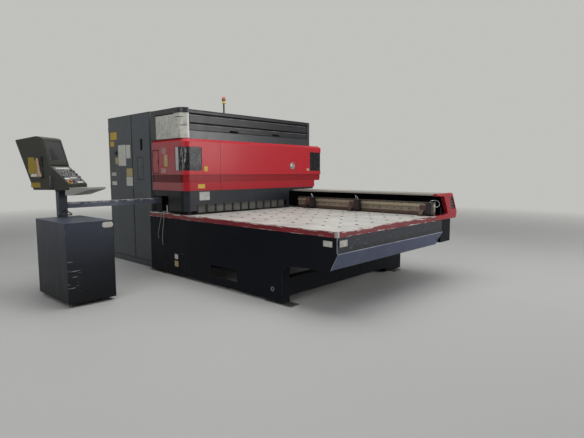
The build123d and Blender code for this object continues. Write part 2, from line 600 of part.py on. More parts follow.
# Red cowl, first as one folded form with rounded corners, a bevelled top and a sunk band
inner_top = COWL_HIGH - COWL_BEVEL - COWL_SKIN
cowl_levels = (
    (BAND_LOW, BAND_HIGH, 0.0, Mode.SUBTRACT),
    (BAND_LOW, BAND_HIGH, BAND_DEPTH, Mode.ADD),
    (COWL_LOW, BAND_LOW - COWL_SKIN, COWL_SKIN, Mode.SUBTRACT),
    (BAND_LOW - COWL_SKIN, BAND_HIGH + COWL_SKIN, BAND_DEPTH + COWL_SKIN, Mode.SUBTRACT),
    (BAND_HIGH + COWL_SKIN, inner_top, COWL_SKIN, Mode.SUBTRACT),
    (inner_top, COWL_HIGH - COWL_SKIN, COWL_BEVEL + COWL_SKIN, Mode.SUBTRACT),
)
with BuildPart() as cowl_form:
    with BuildSketch(Plane.XY.offset(COWL_LOW)) as cowl_plan:
        with Locations((BRIDGE_BACK, -BRIDGE_NEAR)):
            Rectangle(bridge_depth, BRIDGE_NEAR + BRIDGE_FAR, align=(Align.MIN, Align.MIN))
        front_corners = cowl_plan.vertices().group_by(Axis.X)[-1].sort_by(Axis.Y)
        fillet(front_corners[0], NEAR_ROUND)
        fillet(front_corners[1], CORNER_ROUND)
    extrude(amount=COWL_HIGH - COWL_LOW)
    top_rim = cowl_form.edges().group_by(Axis.Z)[-1].sort_by(Axis.X)
    chamfer(top_rim[1:], COWL_BEVEL)
    for low, high, inset, mode in cowl_levels:
        with BuildSketch(Plane.XY.offset(low)) as level:
            with Locations((BRIDGE_BACK, -BRIDGE_NEAR + inset)):
                Rectangle(bridge_depth - inset, BRIDGE_NEAR + BRIDGE_FAR - 2 * inset,
                          align=(Align.MIN, Align.MIN))
            front_corners = level.vertices().group_by(Axis.X)[-1].sort_by(Axis.Y)
            fillet(front_corners[0], NEAR_ROUND - inset)
            fillet(front_corners[1], CORNER_ROUND - inset)
        extrude(amount=high - low, mode=mode)
    # The roof is open under the hood
    rim = COWL_BEVEL + COWL_SKIN
    with BuildSketch(Plane.XY.offset(COWL_HIGH - COWL_SKIN)) as roof_opening:
        with Locations((BRIDGE_BACK, -BRIDGE_NEAR + rim)):
            Rectangle(bridge_depth - rim, HOOD_FAR - 20 + BRIDGE_NEAR - rim, align=(Align.MIN, Align.MIN))
        fillet(roof_opening.vertices().group_by(Axis.X)[-1].sort_by(Axis.Y)[0], NEAR_ROUND - rim)
    extrude(amount=COWL_SKIN, mode=Mode.SUBTRACT)
    # Windows wrap both front corners
    for y0, y1 in ((-BRIDGE_NEAR, WINDOW_NEAR_EDGE), (WINDOW_FAR_EDGE, BRIDGE_FAR)):
        with Locations((WINDOW_BACK, y0, WINDOW_LOW)):
            Box(BRIDGE_FRONT - WINDOW_BACK, y1 - y0, WINDOW_HIGH - WINDOW_LOW,
                align=LOW, mode=Mode.SUBTRACT)
    # Behind, the skin stops short of the rear panel
    with Locations((BRIDGE_BACK, -BRIDGE_NEAR, COWL_LOW)):
        Box(COWL_SKIN, BRIDGE_NEAR + BRIDGE_FAR, COWL_HIGH - COWL_LOW, align=LOW, mode=Mode.SUBTRACT)
    # The far end is cut back below the band to clear the carriage's way
    with BuildSketch(Plane.YZ.offset(BRIDGE_BACK)):
        with BuildLine():
            Polyline((BRIDGE_FAR + 1, BAND_HIGH), (BRIDGE_FAR - BAND_TAPER, BAND_LOW),
                     (COWL_FAR_FOOT, BAND_LOW), (COWL_FAR_FOOT, COWL_LOW - 1),
                     (BRIDGE_FAR + 1, COWL_LOW - 1), close=True)
        make_face()
    extrude(amount=bridge_depth, mode=Mode.SUBTRACT)

# End door in the cowl's near end, beside the rear edge
END_DOOR_LEFT, END_DOOR_RIGHT = BRIDGE_BACK + 10, -141.0
END_DOOR_LOW, END_DOOR_HIGH = 1483.0, 1824.0
CORNER_SEAM = 388.0
end_door_hinges = [Location((END_DOOR_LEFT + DOOR_GAP, -BRIDGE_NEAR, z))
                   for z in (END_DOOR_LOW + 60, END_DOOR_HIGH - 60)]
with BuildPart() as cowl_near:
    add(cowl_form.part)
    split(bisect_by=Plane.XZ.offset(-SEAM_NEAR + SEAM / 2), keep=Keep.TOP)
    with Locations((END_DOOR_LEFT, -BRIDGE_NEAR, END_DOOR_LOW)):
        Box(END_DOOR_RIGHT - END_DOOR_LEFT, COWL_SKIN, END_DOOR_HIGH - END_DOOR_LOW,
            align=LOW, mode=Mode.SUBTRACT)
    frame_knuckles(end_door_hinges, (-6.0, -2.0, -1.0, 6.0))
    # Fine upright seam where the rounded corner piece starts
    for y, low, high in ((-BRIDGE_NEAR, COWL_LOW, COWL_HIGH), (-BRIDGE_NEAR + BAND_DEPTH, BAND_LOW, BAND_HIGH)):
        with Locations((CORNER_SEAM, y, low)):
            Box(3, 2, high - low, align=LOW, mode=Mode.SUBTRACT)
cowl_near.part.label = "cowl_near"
export_step(cowl_near.part, "parts/cowl_near.step")

with BuildPart() as end_door:
    with BuildSketch(Plane.XZ.offset(BRIDGE_NEAR - COWL_SKIN)) as end_door_outline:
        with Locations(((END_DOOR_LEFT + END_DOOR_RIGHT) / 2, (END_DOOR_LOW + END_DOOR_HIGH) / 2)):
            RectangleRounded(END_DOOR_RIGHT - END_DOOR_LEFT - 6, END_DOOR_HIGH - END_DOOR_LOW - 6, 6)
        with Locations((END_DOOR_RIGHT - 26, (END_DOOR_LOW + END_DOOR_HIGH) / 2)):
            SlotOverall(60, 16, rotation=90, mode=Mode.SUBTRACT)
    extrude(amount=COWL_SKIN)
    door_knuckles(end_door_hinges)
end_door.part.label = "end_door"
export_step(end_door.part, "parts/end_door.step")

with BuildPart() as cowl_centre:
    add(cowl_form.part)
    split(bisect_by=Plane.XZ.offset(-SEAM_NEAR - SEAM / 2), keep=Keep.BOTTOM)
    split(bisect_by=Plane.XZ.offset(-SEAM_FAR + SEAM / 2), keep=Keep.TOP)
cowl_centre.part.label = "cowl_centre"
export_step(cowl_centre.part, "parts/cowl_centre.step")

with BuildPart() as cowl_far:
    add(cowl_form.part)
    split(bisect_by=Plane.XZ.offset(-SEAM_FAR - SEAM / 2), keep=Keep.BOTTOM)
cowl_far.part.label = "cowl_far"
export_step(cowl_far.part, "parts/cowl_far.step")

# Rear panel of the bridge, plain, with two rows of vent slots
VENT_LONG, VENT_HIGH = 160.0, 12.0
with BuildPart() as cowl_rear:
    with BuildSketch(Plane.YZ.offset(BRIDGE_BACK)):
        with Locations((-BRIDGE_NEAR, COWL_LOW)):
            Rectangle(COWL_FAR_FOOT + BRIDGE_NEAR, COWL_HIGH - COWL_LOW, align=(Align.MIN, Align.MIN))
        with Locations((-300, COWL_HIGH - 160), (900, COWL_HIGH - 160)):
            with GridLocations(0, 36, 1, 4):
                SlotOverall(VENT_LONG, VENT_HIGH, mode=Mode.SUBTRACT)
    extrude(amount=COWL_SKIN)
cowl_rear.part.label = "cowl_rear"
export_step(cowl_rear.part, "parts/cowl_rear.step")

# Dark window panes, bent round the corners behind the cowl's openings
pane_near = WINDOW_NEAR_EDGE + PANE_LAP
pane_far = WINDOW_FAR_EDGE - PANE_LAP
pane_low = WINDOW_LOW - PANE_LAP
pane_levels = ((COWL_SKIN, Mode.ADD), (COWL_SKIN + PANE, Mode.SUBTRACT))
with BuildPart() as windows:
    for inset, mode in pane_levels:
        with BuildSketch(Plane.XY.offset(pane_low)) as level:
            with Locations((BRIDGE_BACK, -BRIDGE_NEAR + inset)):
                Rectangle(bridge_depth - inset, BRIDGE_NEAR + BRIDGE_FAR - 2 * inset,
                          align=(Align.MIN, Align.MIN))
            front_corners = level.vertices().group_by(Axis.X)[-1].sort_by(Axis.Y)
            fillet(front_corners[0], NEAR_ROUND - inset)
            fillet(front_corners[1], CORNER_ROUND - inset)
        extrude(amount=WINDOW_HIGH + PANE_LAP - pane_low, mode=mode)
    with Locations((BRIDGE_BACK, pane_near, pane_low)):
        Box(bridge_depth, pane_far - pane_near, COWL_HIGH - WINDOW_LOW, align=LOW, mode=Mode.SUBTRACT)
    with Locations((BRIDGE_BACK, -BRIDGE_NEAR, pane_low)):
        Box(WINDOW_BACK - PANE_LAP - BRIDGE_BACK, BRIDGE_NEAR + BRIDGE_FAR, COWL_HIGH - WINDOW_LOW,
            align=LOW, mode=Mode.SUBTRACT)
windows.part.label = "windows"
export_step(windows.part, "parts/windows.step")


# Black hood: deck, roof, rear wall and the frame round the front hatch
HOOD_SKIN = 4.0
HOOD_RIM = 60.0
WRAP = 88.0
SHELL_ROUND = 85.0
WRAP_ROUND = 120.0
COVER_PROUD = 6.0
COVER_LEFT = -212.0
COVER_LOW = COWL_HIGH + 8.0
END_BAND_LOW = 2318.0
cover_front = hood_front + COVER_PROUD
cover_depth = HOOD_NEAR + WRAP - END_COVER_FACE
hatch_near = HOOD_NEAR + WRAP + HATCH_GAP
hatch_far = HOOD_FAR - HOOD_RIM - HATCH_GAP
hatch_high = HOOD_HIGH - HOOD_SKIN - 4 - HATCH_GAP
hatch_hinges = [Location((hood_front, y, hatch_high), (90, 0, 0)) for y in (-700.0, 0.0, 700.0, 1240.0)]
with BuildPart() as shell_body:
    # The near front corner is rounded inside the pale cover
    for inset, mode in ((0.0, Mode.ADD), (HOOD_SKIN, Mode.SUBTRACT)):
        with BuildSketch(Plane.XY.offset(COWL_HIGH + inset)) as level:
            with Locations((BRIDGE_BACK + inset, HOOD_NEAR + inset)):
                Rectangle(hood_front - BRIDGE_BACK - 2 * inset, HOOD_FAR - HOOD_NEAR - 2 * inset,
                          align=(Align.MIN, Align.MIN))
            fillet(level.vertices().group_by(Axis.X)[-1].sort_by(Axis.Y)[0], SHELL_ROUND - inset)
        extrude(amount=HOOD_HIGH - COWL_HIGH - 2 * inset, mode=mode)
    with Locations((hood_front - HOOD_SKIN, HOOD_NEAR + WRAP, HATCH_LOW)):
        Box(HOOD_SKIN, HOOD_FAR - HOOD_NEAR - WRAP - HOOD_RIM, HOOD_HIGH - HOOD_SKIN - 4 - HATCH_LOW,
            align=LOW, mode=Mode.SUBTRACT)
    frame_knuckles(hatch_hinges, (-4.0, 0.0, 0.0, 6.0))

# Solid of the shell's outline, to shape what wraps its near end
with BuildPart() as shell_outline:
    with BuildSketch(Plane.XY.offset(COWL_HIGH)) as level:
        with Locations((BRIDGE_BACK, HOOD_NEAR)):
            Rectangle(hood_front - BRIDGE_BACK, HOOD_FAR - HOOD_NEAR, align=(Align.MIN, Align.MIN))
        fillet(level.vertices().group_by(Axis.X)[-1].sort_by(Axis.Y)[0], SHELL_ROUND)
    extrude(amount=END_COVER_HIGH - COWL_HIGH)

# Dark frame at the near end that holds the pale cover: a post behind, and a band above round the corner
with BuildPart() as end_frame:
    with BuildSketch(Plane.XY.offset(END_BAND_LOW)) as level:
        with Locations((BRIDGE_BACK, END_COVER_FACE)):
            Rectangle(cover_front - BRIDGE_BACK, cover_depth, align=(Align.MIN, Align.MIN))
        fillet(level.vertices().group_by(Axis.X)[-1].sort_by(Axis.Y)[0], WRAP_ROUND)
    extrude(amount=END_COVER_HIGH - END_BAND_LOW)
    add(shell_outline.part, mode=Mode.SUBTRACT)
    with Locations((BRIDGE_BACK, END_COVER_FACE, COVER_LOW)):
        Box(COVER_LEFT - BRIDGE_BACK, HOOD_NEAR - END_COVER_FACE, END_COVER_HIGH - COVER_LOW, align=LOW)
    with Locations((CORNER_SEAM - 46, END_COVER_FACE, END_BAND_LOW)):
        Box(4, 3, END_COVER_HIGH - END_BAND_LOW, align=LOW, mode=Mode.SUBTRACT)
with BuildPart() as hood_shell:
    add(shell_body.part)
    add(end_frame.part)
hood_shell.part.label = "hood_shell"
export_step(hood_shell.part, "parts/hood_shell.step")

# Pale end cover that wraps the hood's near front corner: a folded sheet with vent slits
STEP_X = 257.0
cover_levels = (
    (COVER_LEFT + 2, 0.0, COVER_LOW, END_BAND_LOW - 5, Mode.ADD),
    (COVER_LEFT + 2 + END_COVER_SKIN, END_COVER_SKIN, COVER_LOW + END_COVER_SKIN,
     END_BAND_LOW - 18 - END_COVER_SKIN, Mode.SUBTRACT),
)
with BuildPart() as hood_end_cover:
    for left, inset, low, high, mode in cover_levels:
        with BuildSketch(Plane.XY.offset(low)) as level:
            with Locations((left, END_COVER_FACE + inset)):
                Rectangle(cover_front - inset - left, cover_depth - inset, align=(Align.MIN, Align.MIN))
            fillet(level.vertices().group_by(Axis.X)[-1].sort_by(Axis.Y)[0], WRAP_ROUND - inset)
        extrude(amount=high - low, mode=mode)
    add(shell_outline.part, mode=Mode.SUBTRACT)
    # The rear part is 3 mm deeper and ends lower than the part at the corner
    with Locations((COVER_LEFT, END_COVER_FACE, COVER_LOW)):
        Box(STEP_X - COVER_LEFT, 3, END_BAND_LOW - COVER_LOW, align=LOW, mode=Mode.SUBTRACT)
    with Locations((COVER_LEFT, END_COVER_FACE, END_BAND_LOW - 16)):
        Box(STEP_X - COVER_LEFT, 40, 16, align=LOW, mode=Mode.SUBTRACT)
    with Locations((284, END_COVER_FACE, 2255), (398, END_COVER_FACE, 2140)):
        Box(150, 90, 9, align=LOW, mode=Mode.SUBTRACT)
hood_end_cover.part.label = "hood_end_cover"
export_step(hood_end_cover.part, "parts/hood_end_cover.step")

# Hatch in the hood's front, hung on its top edge, with two long grooves and two finger pockets
GROOVES = (2170.0, 2299.0)
GROOVE_HIGH = 18.0
POCKETS = ((-311.0, 136.0), (556.0, 163.0))
with BuildPart() as hood_hatch:
    with BuildSketch(Plane.XZ.offset(-hatch_near)):
        with BuildLine():
            Polyline(
                (hood_front - HATCH_THICK, HATCH_LOW + HATCH_GAP), (hood_front, HATCH_LOW + HATCH_GAP),
                (hood_front, GROOVES[0]), (hood_front - 8, GROOVES[0] + 2),
                (hood_front - 8, GROOVES[0] + GROOVE_HIGH), (hood_front, GROOVES[0] + GROOVE_HIGH + 2),
                (hood_front, GROOVES[1]), (hood_front - 8, GROOVES[1] + 2),
                (hood_front - 8, GROOVES[1] + GROOVE_HIGH), (hood_front, GROOVES[1] + GROOVE_HIGH + 2),
                (hood_front, hatch_high), (hood_front - HATCH_THICK, hatch_high), close=True)
        make_face()
    extrude(amount=-(hatch_far - hatch_near))
    for y, wide in POCKETS:
        with Locations((hood_front - 12, y, HATCH_LOW + 10)):
            Box(12, wide, 30, align=LOW, mode=Mode.SUBTRACT)
    door_knuckles(hatch_hinges)
hood_hatch.part.label = "hood_hatch"
export_step(hood_hatch.part, "parts/hood_hatch.step")


# Laser source: the long resonator box on the deck inside the hood
with BuildPart() as laser_source:
    with Locations((BRIDGE_BACK + 120, HOOD_NEAR + 200, COWL_HIGH + HOOD_SKIN)):
        Box(420, 1900, 260, align=LOW)
    chamfer(laser_source.edges().filter_by(Axis.Y), 20)
laser_source.part.label = "laser_source"
export_step(laser_source.part, "parts/laser_source.step")


# Black skirt below the cowl: front plate, corner cover and the post beside the carriage's way
SKIRT_LOW = 1042.0
SKIRT_FRONT = BRIDGE_FRONT - 8
SKIRT_SHEET = 5.0
CURTAIN_LOW = 927.0
CURTAIN_NEAR = -965.0
CURTAIN_FAR = 811.0
POST_NEAR, POST_FAR = 852.0, 925.0
skirt_rear_near = COLUMN_NEAR + COLUMN_DEEP
NEAR_FOOT = 955.0
skirt_near = -BRIDGE_NEAR + 10
skirt_round = NEAR_ROUND - 8
skirt_back = BRIDGE_BACK + 12
skirt_foot = PASS_LINE + STRIP_PROUD + 8
near_plate_end = CURTAIN_NEAR - 3
with BuildPart() as skirt:
    # The near end and its rounded corner, one plate that hangs lower than the front
    for inset, mode in ((0.0, Mode.ADD), (SKIRT_SHEET, Mode.SUBTRACT)):
        with BuildSketch(Plane.XY.offset(NEAR_FOOT)) as level:
            with Locations((skirt_back, skirt_near + inset)):
                Rectangle(SKIRT_FRONT - skirt_back - inset, near_plate_end - skirt_near - inset,
                          align=(Align.MIN, Align.MIN))
            fillet(level.vertices().group_by(Axis.X)[-1].sort_by(Axis.Y)[0], skirt_round - inset)
        extrude(amount=COWL_LOW - NEAR_FOOT, mode=mode)
    # Open below at the niche, whose ceiling and side fold back to the column
    with Locations((skirt_back, skirt_near, NEAR_FOOT)):
        Box(NICHE_RIGHT - skirt_back, 10, NICHE_HIGH - NEAR_FOOT, align=LOW, mode=Mode.SUBTRACT)
    with Locations((skirt_back, skirt_near, NICHE_HIGH)):
        Box(NICHE_RIGHT - skirt_back, COLUMN_NEAR - skirt_near, SKIRT_SHEET, align=LOW)
    with Locations((NICHE_RIGHT, skirt_near, NEAR_FOOT)):
        Box(SKIRT_SHEET, COLUMN_NEAR - skirt_near, NICHE_HIGH + SKIRT_SHEET - NEAR_FOOT, align=LOW)
    for x, near in ((SKIRT_FRONT - SKIRT_SHEET, near_plate_end - 1), (skirt_back, skirt_rear_near)):
        with Locations((x, near, SKIRT_LOW)):
            Box(SKIRT_SHEET, POST_FAR - near, COWL_LOW - SKIRT_LOW, align=LOW)
        with Locations((x, POST_NEAR, skirt_foot)):
            Box(SKIRT_SHEET, POST_FAR - POST_NEAR, SKIRT_LOW - skirt_foot, align=LOW)
        # A narrow plate closes the gap above the carriage's way
        with Locations((x, POST_FAR, COVER_TOP + 8)):
            Box(SKIRT_SHEET, FAR_COLUMN_NEAR - 6 - POST_FAR, COWL_LOW - COVER_TOP - 8, align=LOW)
    # The far posts fold back into the throat to hold the plates stiff
    with Locations((SKIRT_FRONT - 70, POST_FAR - SKIRT_SHEET, skirt_foot)):
        Box(70, SKIRT_SHEET, COWL_LOW - skirt_foot, align=LOW)
    with Locations((skirt_back, POST_FAR - SKIRT_SHEET, skirt_foot)):
        Box(70, SKIRT_SHEET, COWL_LOW - skirt_foot, align=LOW)
skirt.part.label = "skirt"
export_step(skirt.part, "parts/skirt.step")

# Strip curtains behind the skirt plates, front and rear: hanging strips side by side
STRIPS = 22
STRIP_GAP = 3.0
STRIP_THICK = 3.0
strip_pitch = (CURTAIN_FAR - CURTAIN_NEAR) / STRIPS
with BuildPart() as strip_curtains:
    for x, first in ((SKIRT_FRONT - SKIRT_SHEET - STRIP_THICK, 0), (skirt_back + SKIRT_SHEET, 1)):
        with BuildSketch(Plane.YZ.offset(x)):
            for strip in range(first, STRIPS):
                with Locations((CURTAIN_NEAR + strip * strip_pitch, CURTAIN_LOW)):
                    Rectangle(strip_pitch - STRIP_GAP, SKIRT_LOW + 30 - CURTAIN_LOW,
                              align=(Align.MIN, Align.MIN))
        extrude(amount=STRIP_THICK)
strip_curtains.part.label = "strip_curtains"
export_step(strip_curtains.part, "parts/strip_curtains.step")


# Signal tower on the hood: foot, pole and three lenses
TOWER_X, TOWER_Y = 0.0, -73.0
LENS_RADIUS = 17.0
with BuildPart() as signal_tower:
    with Locations((TOWER_X, TOWER_Y, HOOD_HIGH)):
        Cylinder(24, 8, align=ON_FLOOR)
        Cylinder(7, 240, align=ON_FLOOR)
    with BuildSketch(Plane.XZ.offset(-TOWER_Y)):
        with BuildLine():
            Polyline(
                (TOWER_X, HOOD_HIGH + 232), (TOWER_X + LENS_RADIUS - 3, HOOD_HIGH + 232),
                (TOWER_X + LENS_RADIUS, HOOD_HIGH + 236), (TOWER_X + LENS_RADIUS, HOOD_HIGH + 256),
                (TOWER_X + LENS_RADIUS - 2, HOOD_HIGH + 258), (TOWER_X + LENS_RADIUS, HOOD_HIGH + 260),
                (TOWER_X + LENS_RADIUS, HOOD_HIGH + 280), (TOWER_X + LENS_RADIUS - 2, HOOD_HIGH + 282),
                (TOWER_X + LENS_RADIUS, HOOD_HIGH + 284), (TOWER_X + LENS_RADIUS, HOOD_HIGH + 316),
                (TOWER_X + LENS_RADIUS - 6, HOOD_HIGH + 322), (TOWER_X, HOOD_HIGH + 322), close=True)
        make_face()
    revolve(axis=Axis((TOWER_X, TOWER_Y, 0), (0, 0, 1)))
signal_tower.part.label = "signal_tower"
export_step(signal_tower.part, "parts/signal_tower.step")


# Carriage beam: an upright wall with a narrow ledge in front, on a slab that runs on the rails
SLAB_THICK = 33.0
SLAB_END = 2880.0
WALL_THICK = 55.0
LEDGE_LOW, LEDGE_HIGH, LEDGE_REACH = 1030.0, 1044.0, 20.0
slab_high = slab_low + SLAB_THICK
slab_back = UPSTAND_BACK - UPSTAND - 20
with BuildPart() as carriage_beam:
    with BuildSketch(Plane.YZ.offset(CARRIAGE_START)):
        with BuildLine():
            Polyline(
                (CARRIAGE_FRONT, slab_low), (CARRIAGE_FRONT + WALL_THICK, slab_low),
                (CARRIAGE_FRONT + WALL_THICK, CARRIAGE_TOP), (CARRIAGE_FRONT, CARRIAGE_TOP),
                (CARRIAGE_FRONT, LEDGE_HIGH), (CARRIAGE_FRONT - LEDGE_REACH, LEDGE_HIGH),
                (CARRIAGE_FRONT - LEDGE_REACH, LEDGE_LOW), (CARRIAGE_FRONT, LEDGE_LOW), close=True)
        make_face()
    extrude(amount=CARRIAGE_END - CARRIAGE_START)
    with Locations((CARRIAGE_START, CARRIAGE_FRONT + WALL_THICK, slab_low)):
        Box(SLAB_END - CARRIAGE_START, slab_back - CARRIAGE_FRONT - WALL_THICK, SLAB_THICK, align=LOW)
carriage_beam.part.label = "carriage_beam"
export_step(carriage_beam.part, "parts/carriage_beam.step")

# Three clamps: each a cast body with its valve box on the beam, and an upper jaw on a pin
CLAMP_X = (790.0, 1690.0, 2870.0)
CAST_WIDE = 88.0
VALVE_WIDE = 84.0
VALVE_GAP = 6.0
JAW_WIDE = 58.0
JAW_TIP = 946.0
JAW_BACK = 999.0
JAW_LOW = 916.0
MOUTH = 6.0
PIN_Y, PIN_Z, PIN_RADIUS = 985.0, 972.0, 6.0
PIN_FIT = 0.05
CAST_FRONT = 1000.0
CAST_HIGH = 1062.0
VALVE_HIGH = 1078.0
anvil_low = PASS_LINE + 4.5
clamp_back = CARRIAGE_FRONT - LEDGE_REACH - RUNNING_GAP
for index, x in enumerate(CLAMP_X, start=1):
    middle = x + CAST_WIDE / 2
    with BuildPart() as clamp_body:
        with BuildSketch(Plane.YZ.offset(x)):
            with BuildLine():
                Polyline(
                    (JAW_TIP, anvil_low), (clamp_back, anvil_low), (clamp_back, CAST_HIGH),
                    (CAST_FRONT + 12, CAST_HIGH), (CAST_FRONT, CAST_HIGH - 14),
                    (CAST_FRONT, JAW_LOW - MOUTH), (JAW_TIP, JAW_LOW - MOUTH), close=True)
            make_face()
        extrude(amount=CAST_WIDE)
        with Locations((x + CAST_WIDE + VALVE_GAP, CAST_FRONT - 8, anvil_low + 22)):
            Box(VALVE_WIDE, clamp_back - CAST_FRONT + 8, VALVE_HIGH - anvil_low - 22, align=LOW)
        with Locations((x + CAST_WIDE, CAST_FRONT + 14, anvil_low + 40)):
            Box(VALVE_GAP, clamp_back - CAST_FRONT - 20, 70, align=LOW)
        # Ears and pin that carry the jaw
        for ear_x in (middle - JAW_WIDE / 2 - 12, middle + JAW_WIDE / 2 + 1):
            with Locations((ear_x, PIN_Y - 12, PIN_Z - 14)):
                Box(11, CAST_FRONT - PIN_Y + 12, 28, align=LOW)
        with Locations((middle, PIN_Y, PIN_Z)):
            Cylinder(PIN_RADIUS, JAW_WIDE + 6, rotation=(0, 90, 0))
    clamp_body.part.label = f"clamp_body_{index}"
    export_step(clamp_body.part, f"parts/clamp_body_{index}.step")
    with BuildPart() as clamp_jaw:
        with BuildSketch(Plane.YZ.offset(middle - JAW_WIDE / 2)):
            with BuildLine():
                Polyline(
                    (JAW_TIP, JAW_LOW), (JAW_BACK - 3, JAW_LOW), (JAW_BACK - 3, PIN_Z + 6),
                    (PIN_Y + 4, PIN_Z + 14), (PIN_Y - 12, PIN_Z + 12), (JAW_TIP + 2, JAW_LOW + 18),
                    close=True)
            make_face()
            with Locations((PIN_Y, PIN_Z)):
                Circle(PIN_RADIUS + PIN_FIT, mode=Mode.SUBTRACT)
        extrude(amount=JAW_WIDE)
    clamp_jaw.part.label = f"clamp_jaw_{index}"
    export_step(clamp_jaw.part, f"parts/clamp_jaw_{index}.step")


# Air hoses: one loop on each clamp, from the beam's top over to its valve box
HOSE = 8.0
HOSE_START_Y = CARRIAGE_FRONT + 30
HOSE_ROUTES = (
    ((50, 0, 0), (50, 0, 34), (62, -26, 62), (92, -62, 66), (122, -86, 46), (138, -72, 22), (138, -72, -7)),
    ((48, 0, 0), (48, 0, 32), (60, -30, 58), (90, -66, 60), (124, -90, 42), (140, -72, 20), (140, -72, -7)),
    ((105, -5, 0), (105, -5, 18), (122, 45, 24), (126, 140, 20), (158, 176, -12), (168, 150, -52),
     (162, 92, -72), (148, 52, -66), (130, 42, -48), (130, 25, -48)),
)


def tube_radii(points):
    """Gives each corner of a route the largest arc that its two runs allow."""
    radii = []
    for before, corner, after in zip(points, points[1:], points[2:]):
        run_in = Vector(*corner) - Vector(*before)
        run_out = Vector(*after) - Vector(*corner)
        half_turn = radians(run_in.get_angle(run_out)) / 2
        radii.append(0.45 * min(run_in.length, run_out.length) / (sin(half_turn) / cos(half_turn)))
    return radii


def tube_path(points):
    """Draws straight runs joined by arcs, and prints the arcs' radii and the length."""
    radii = tube_radii(points)
    path = FilletPolyline(*points, radius=radii)
    print("route length", round(path.length), "radii", [round(r) for r in radii])
    return path


for index, (x, route) in enumerate(zip(CLAMP_X, HOSE_ROUTES), start=1):
    hose_points = [(x + dx, HOSE_START_Y + dy, CARRIAGE_TOP + dz) for dx, dy, dz in route]
    with BuildPart() as clamp_hose:
        with BuildLine() as hose_line:
            tube_path(hose_points)
        with BuildSketch(Plane(hose_line.line @ 0, z_dir=hose_line.line % 0)):
            Circle(HOSE / 2)
        sweep(path=hose_line.line)
    clamp_hose.part.label = f"clamp_hose_{index}"
    export_step(clamp_hose.part, f"parts/clamp_hose_{index}.step")


# Head carriage: a plate with four bearing shoes that runs along the bridge beam
SHOE_GAP = 0.3
SADDLE_WIDE = 220.0
SADDLE_LOW, SADDLE_HIGH = 1500.0, 1800.0
SADDLE_THICK = 24.0
Z_RAIL = 14.0
saddle_back = BEAM_FRONT + HEAD_RAIL_THICK + SHOE_GAP
with BuildPart() as head_carriage:
    with Locations((saddle_back, -SADDLE_WIDE / 2, SADDLE_LOW)):
        Box(SADDLE_THICK, SADDLE_WIDE, SADDLE_HIGH - SADDLE_LOW, align=LOW)
    for y in (-70.0, 44.0):
        with Locations((saddle_back + SADDLE_THICK, y, SADDLE_LOW - 120)):
            Box(Z_RAIL, 26, SADDLE_HIGH - SADDLE_LOW + 120, align=LOW)
head_carriage.part.label = "head_carriage"
export_step(head_carriage.part, "parts/head_carriage.step")

# Cutting head: the Z slide plate with the beam tube and the tapered head below it
Z_PLATE_LOW, Z_PLATE_HIGH = 1330.0, 1680.0
z_plate_back = saddle_back + SADDLE_THICK + Z_RAIL + SHOE_GAP
with BuildPart() as cutting_head:
    with Locations((z_plate_back, -80, Z_PLATE_LOW)):
        Box(18, 160, Z_PLATE_HIGH - Z_PLATE_LOW, align=LOW)
    with Locations((z_plate_back, -45, Z_PLATE_LOW + 20)):
        Box(-z_plate_back, 90, 120, align=LOW)
    with BuildSketch(Plane.XZ):
        with BuildLine():
            Polyline(
                (0, HEAD_TIP + 22), (17, HEAD_TIP + 22), (26, HEAD_TIP + 75), (40, HEAD_TIP + 90),
                (40, HEAD_TIP + 190), (52, HEAD_TIP + 205), (52, Z_PLATE_HIGH - 40),
                (38, Z_PLATE_HIGH), (0, Z_PLATE_HIGH), close=True)
        make_face()
    revolve(axis=Axis.Z)
cutting_head.part.label = "cutting_head"
export_step(cutting_head.part, "parts/cutting_head.step")

# Copper nozzle at the tip
with BuildPart() as nozzle:
    with BuildSketch(Plane.XZ):
        with BuildLine():
            Polyline((1, HEAD_TIP), (4, HEAD_TIP), (15, HEAD_TIP + 14), (15, HEAD_TIP + 22),
                     (1, HEAD_TIP + 22), close=True)
        make_face()
    revolve(axis=Axis.Z)
nozzle.part.label = "nozzle"
export_step(nozzle.part, "parts/nozzle.step")


# Operator station: cabinet with a front door
station_hinges = [Location((STATION_FRONT, STATION_NEAR, z)) for z in (STATION_FOOT + 110, STATION_HIGH - 110)]
with BuildPart() as station_cabinet:
    with Locations((STATION_BACK, STATION_NEAR, STATION_FOOT)):
        Box(STATION_FRONT - DOOR_SKIN - RUNNING_GAP - STATION_BACK, STATION_FAR - STATION_NEAR,
            STATION_HIGH - STATION_FOOT, align=LOW)
    fillet(station_cabinet.edges().filter_by(Axis.X).group_by(Axis.Z)[-1], 6)
    with Locations((STATION_BACK + 3, STATION_NEAR + 3, STATION_FOOT + 3)):
        Box(STATION_FRONT - DOOR_SKIN - RUNNING_GAP - STATION_BACK, STATION_FAR - STATION_NEAR - 6,
            STATION_HIGH - STATION_FOOT - 6, align=LOW, mode=Mode.SUBTRACT)
    frame_knuckles(station_hinges, (-DOOR_SKIN - 40, -4.0, 0.0, 0.0))
station_cabinet.part.label = "station_cabinet"
export_step(station_cabinet.part, "parts/station_cabinet.step")

with BuildPart() as station_door:
    with BuildSketch(Plane.YZ.offset(STATION_FRONT - DOOR_SKIN)) as station_door_outline:
        with Locations((STATION_NEAR, STATION_FOOT)):
            Rectangle(STATION_FAR - STATION_NEAR, STATION_HIGH - STATION_FOOT, align=(Align.MIN, Align.MIN))
        fillet(station_door_outline.vertices().group_by(Axis.Y)[-1], 6)
    extrude(amount=DOOR_SKIN)
    chamfer(station_door.faces().sort_by(Axis.X)[-1].edges(), 1.5)
    door_knuckles(station_hinges)
station_door.part.label = "station_door"
export_step(station_door.part, "parts/station_door.step")


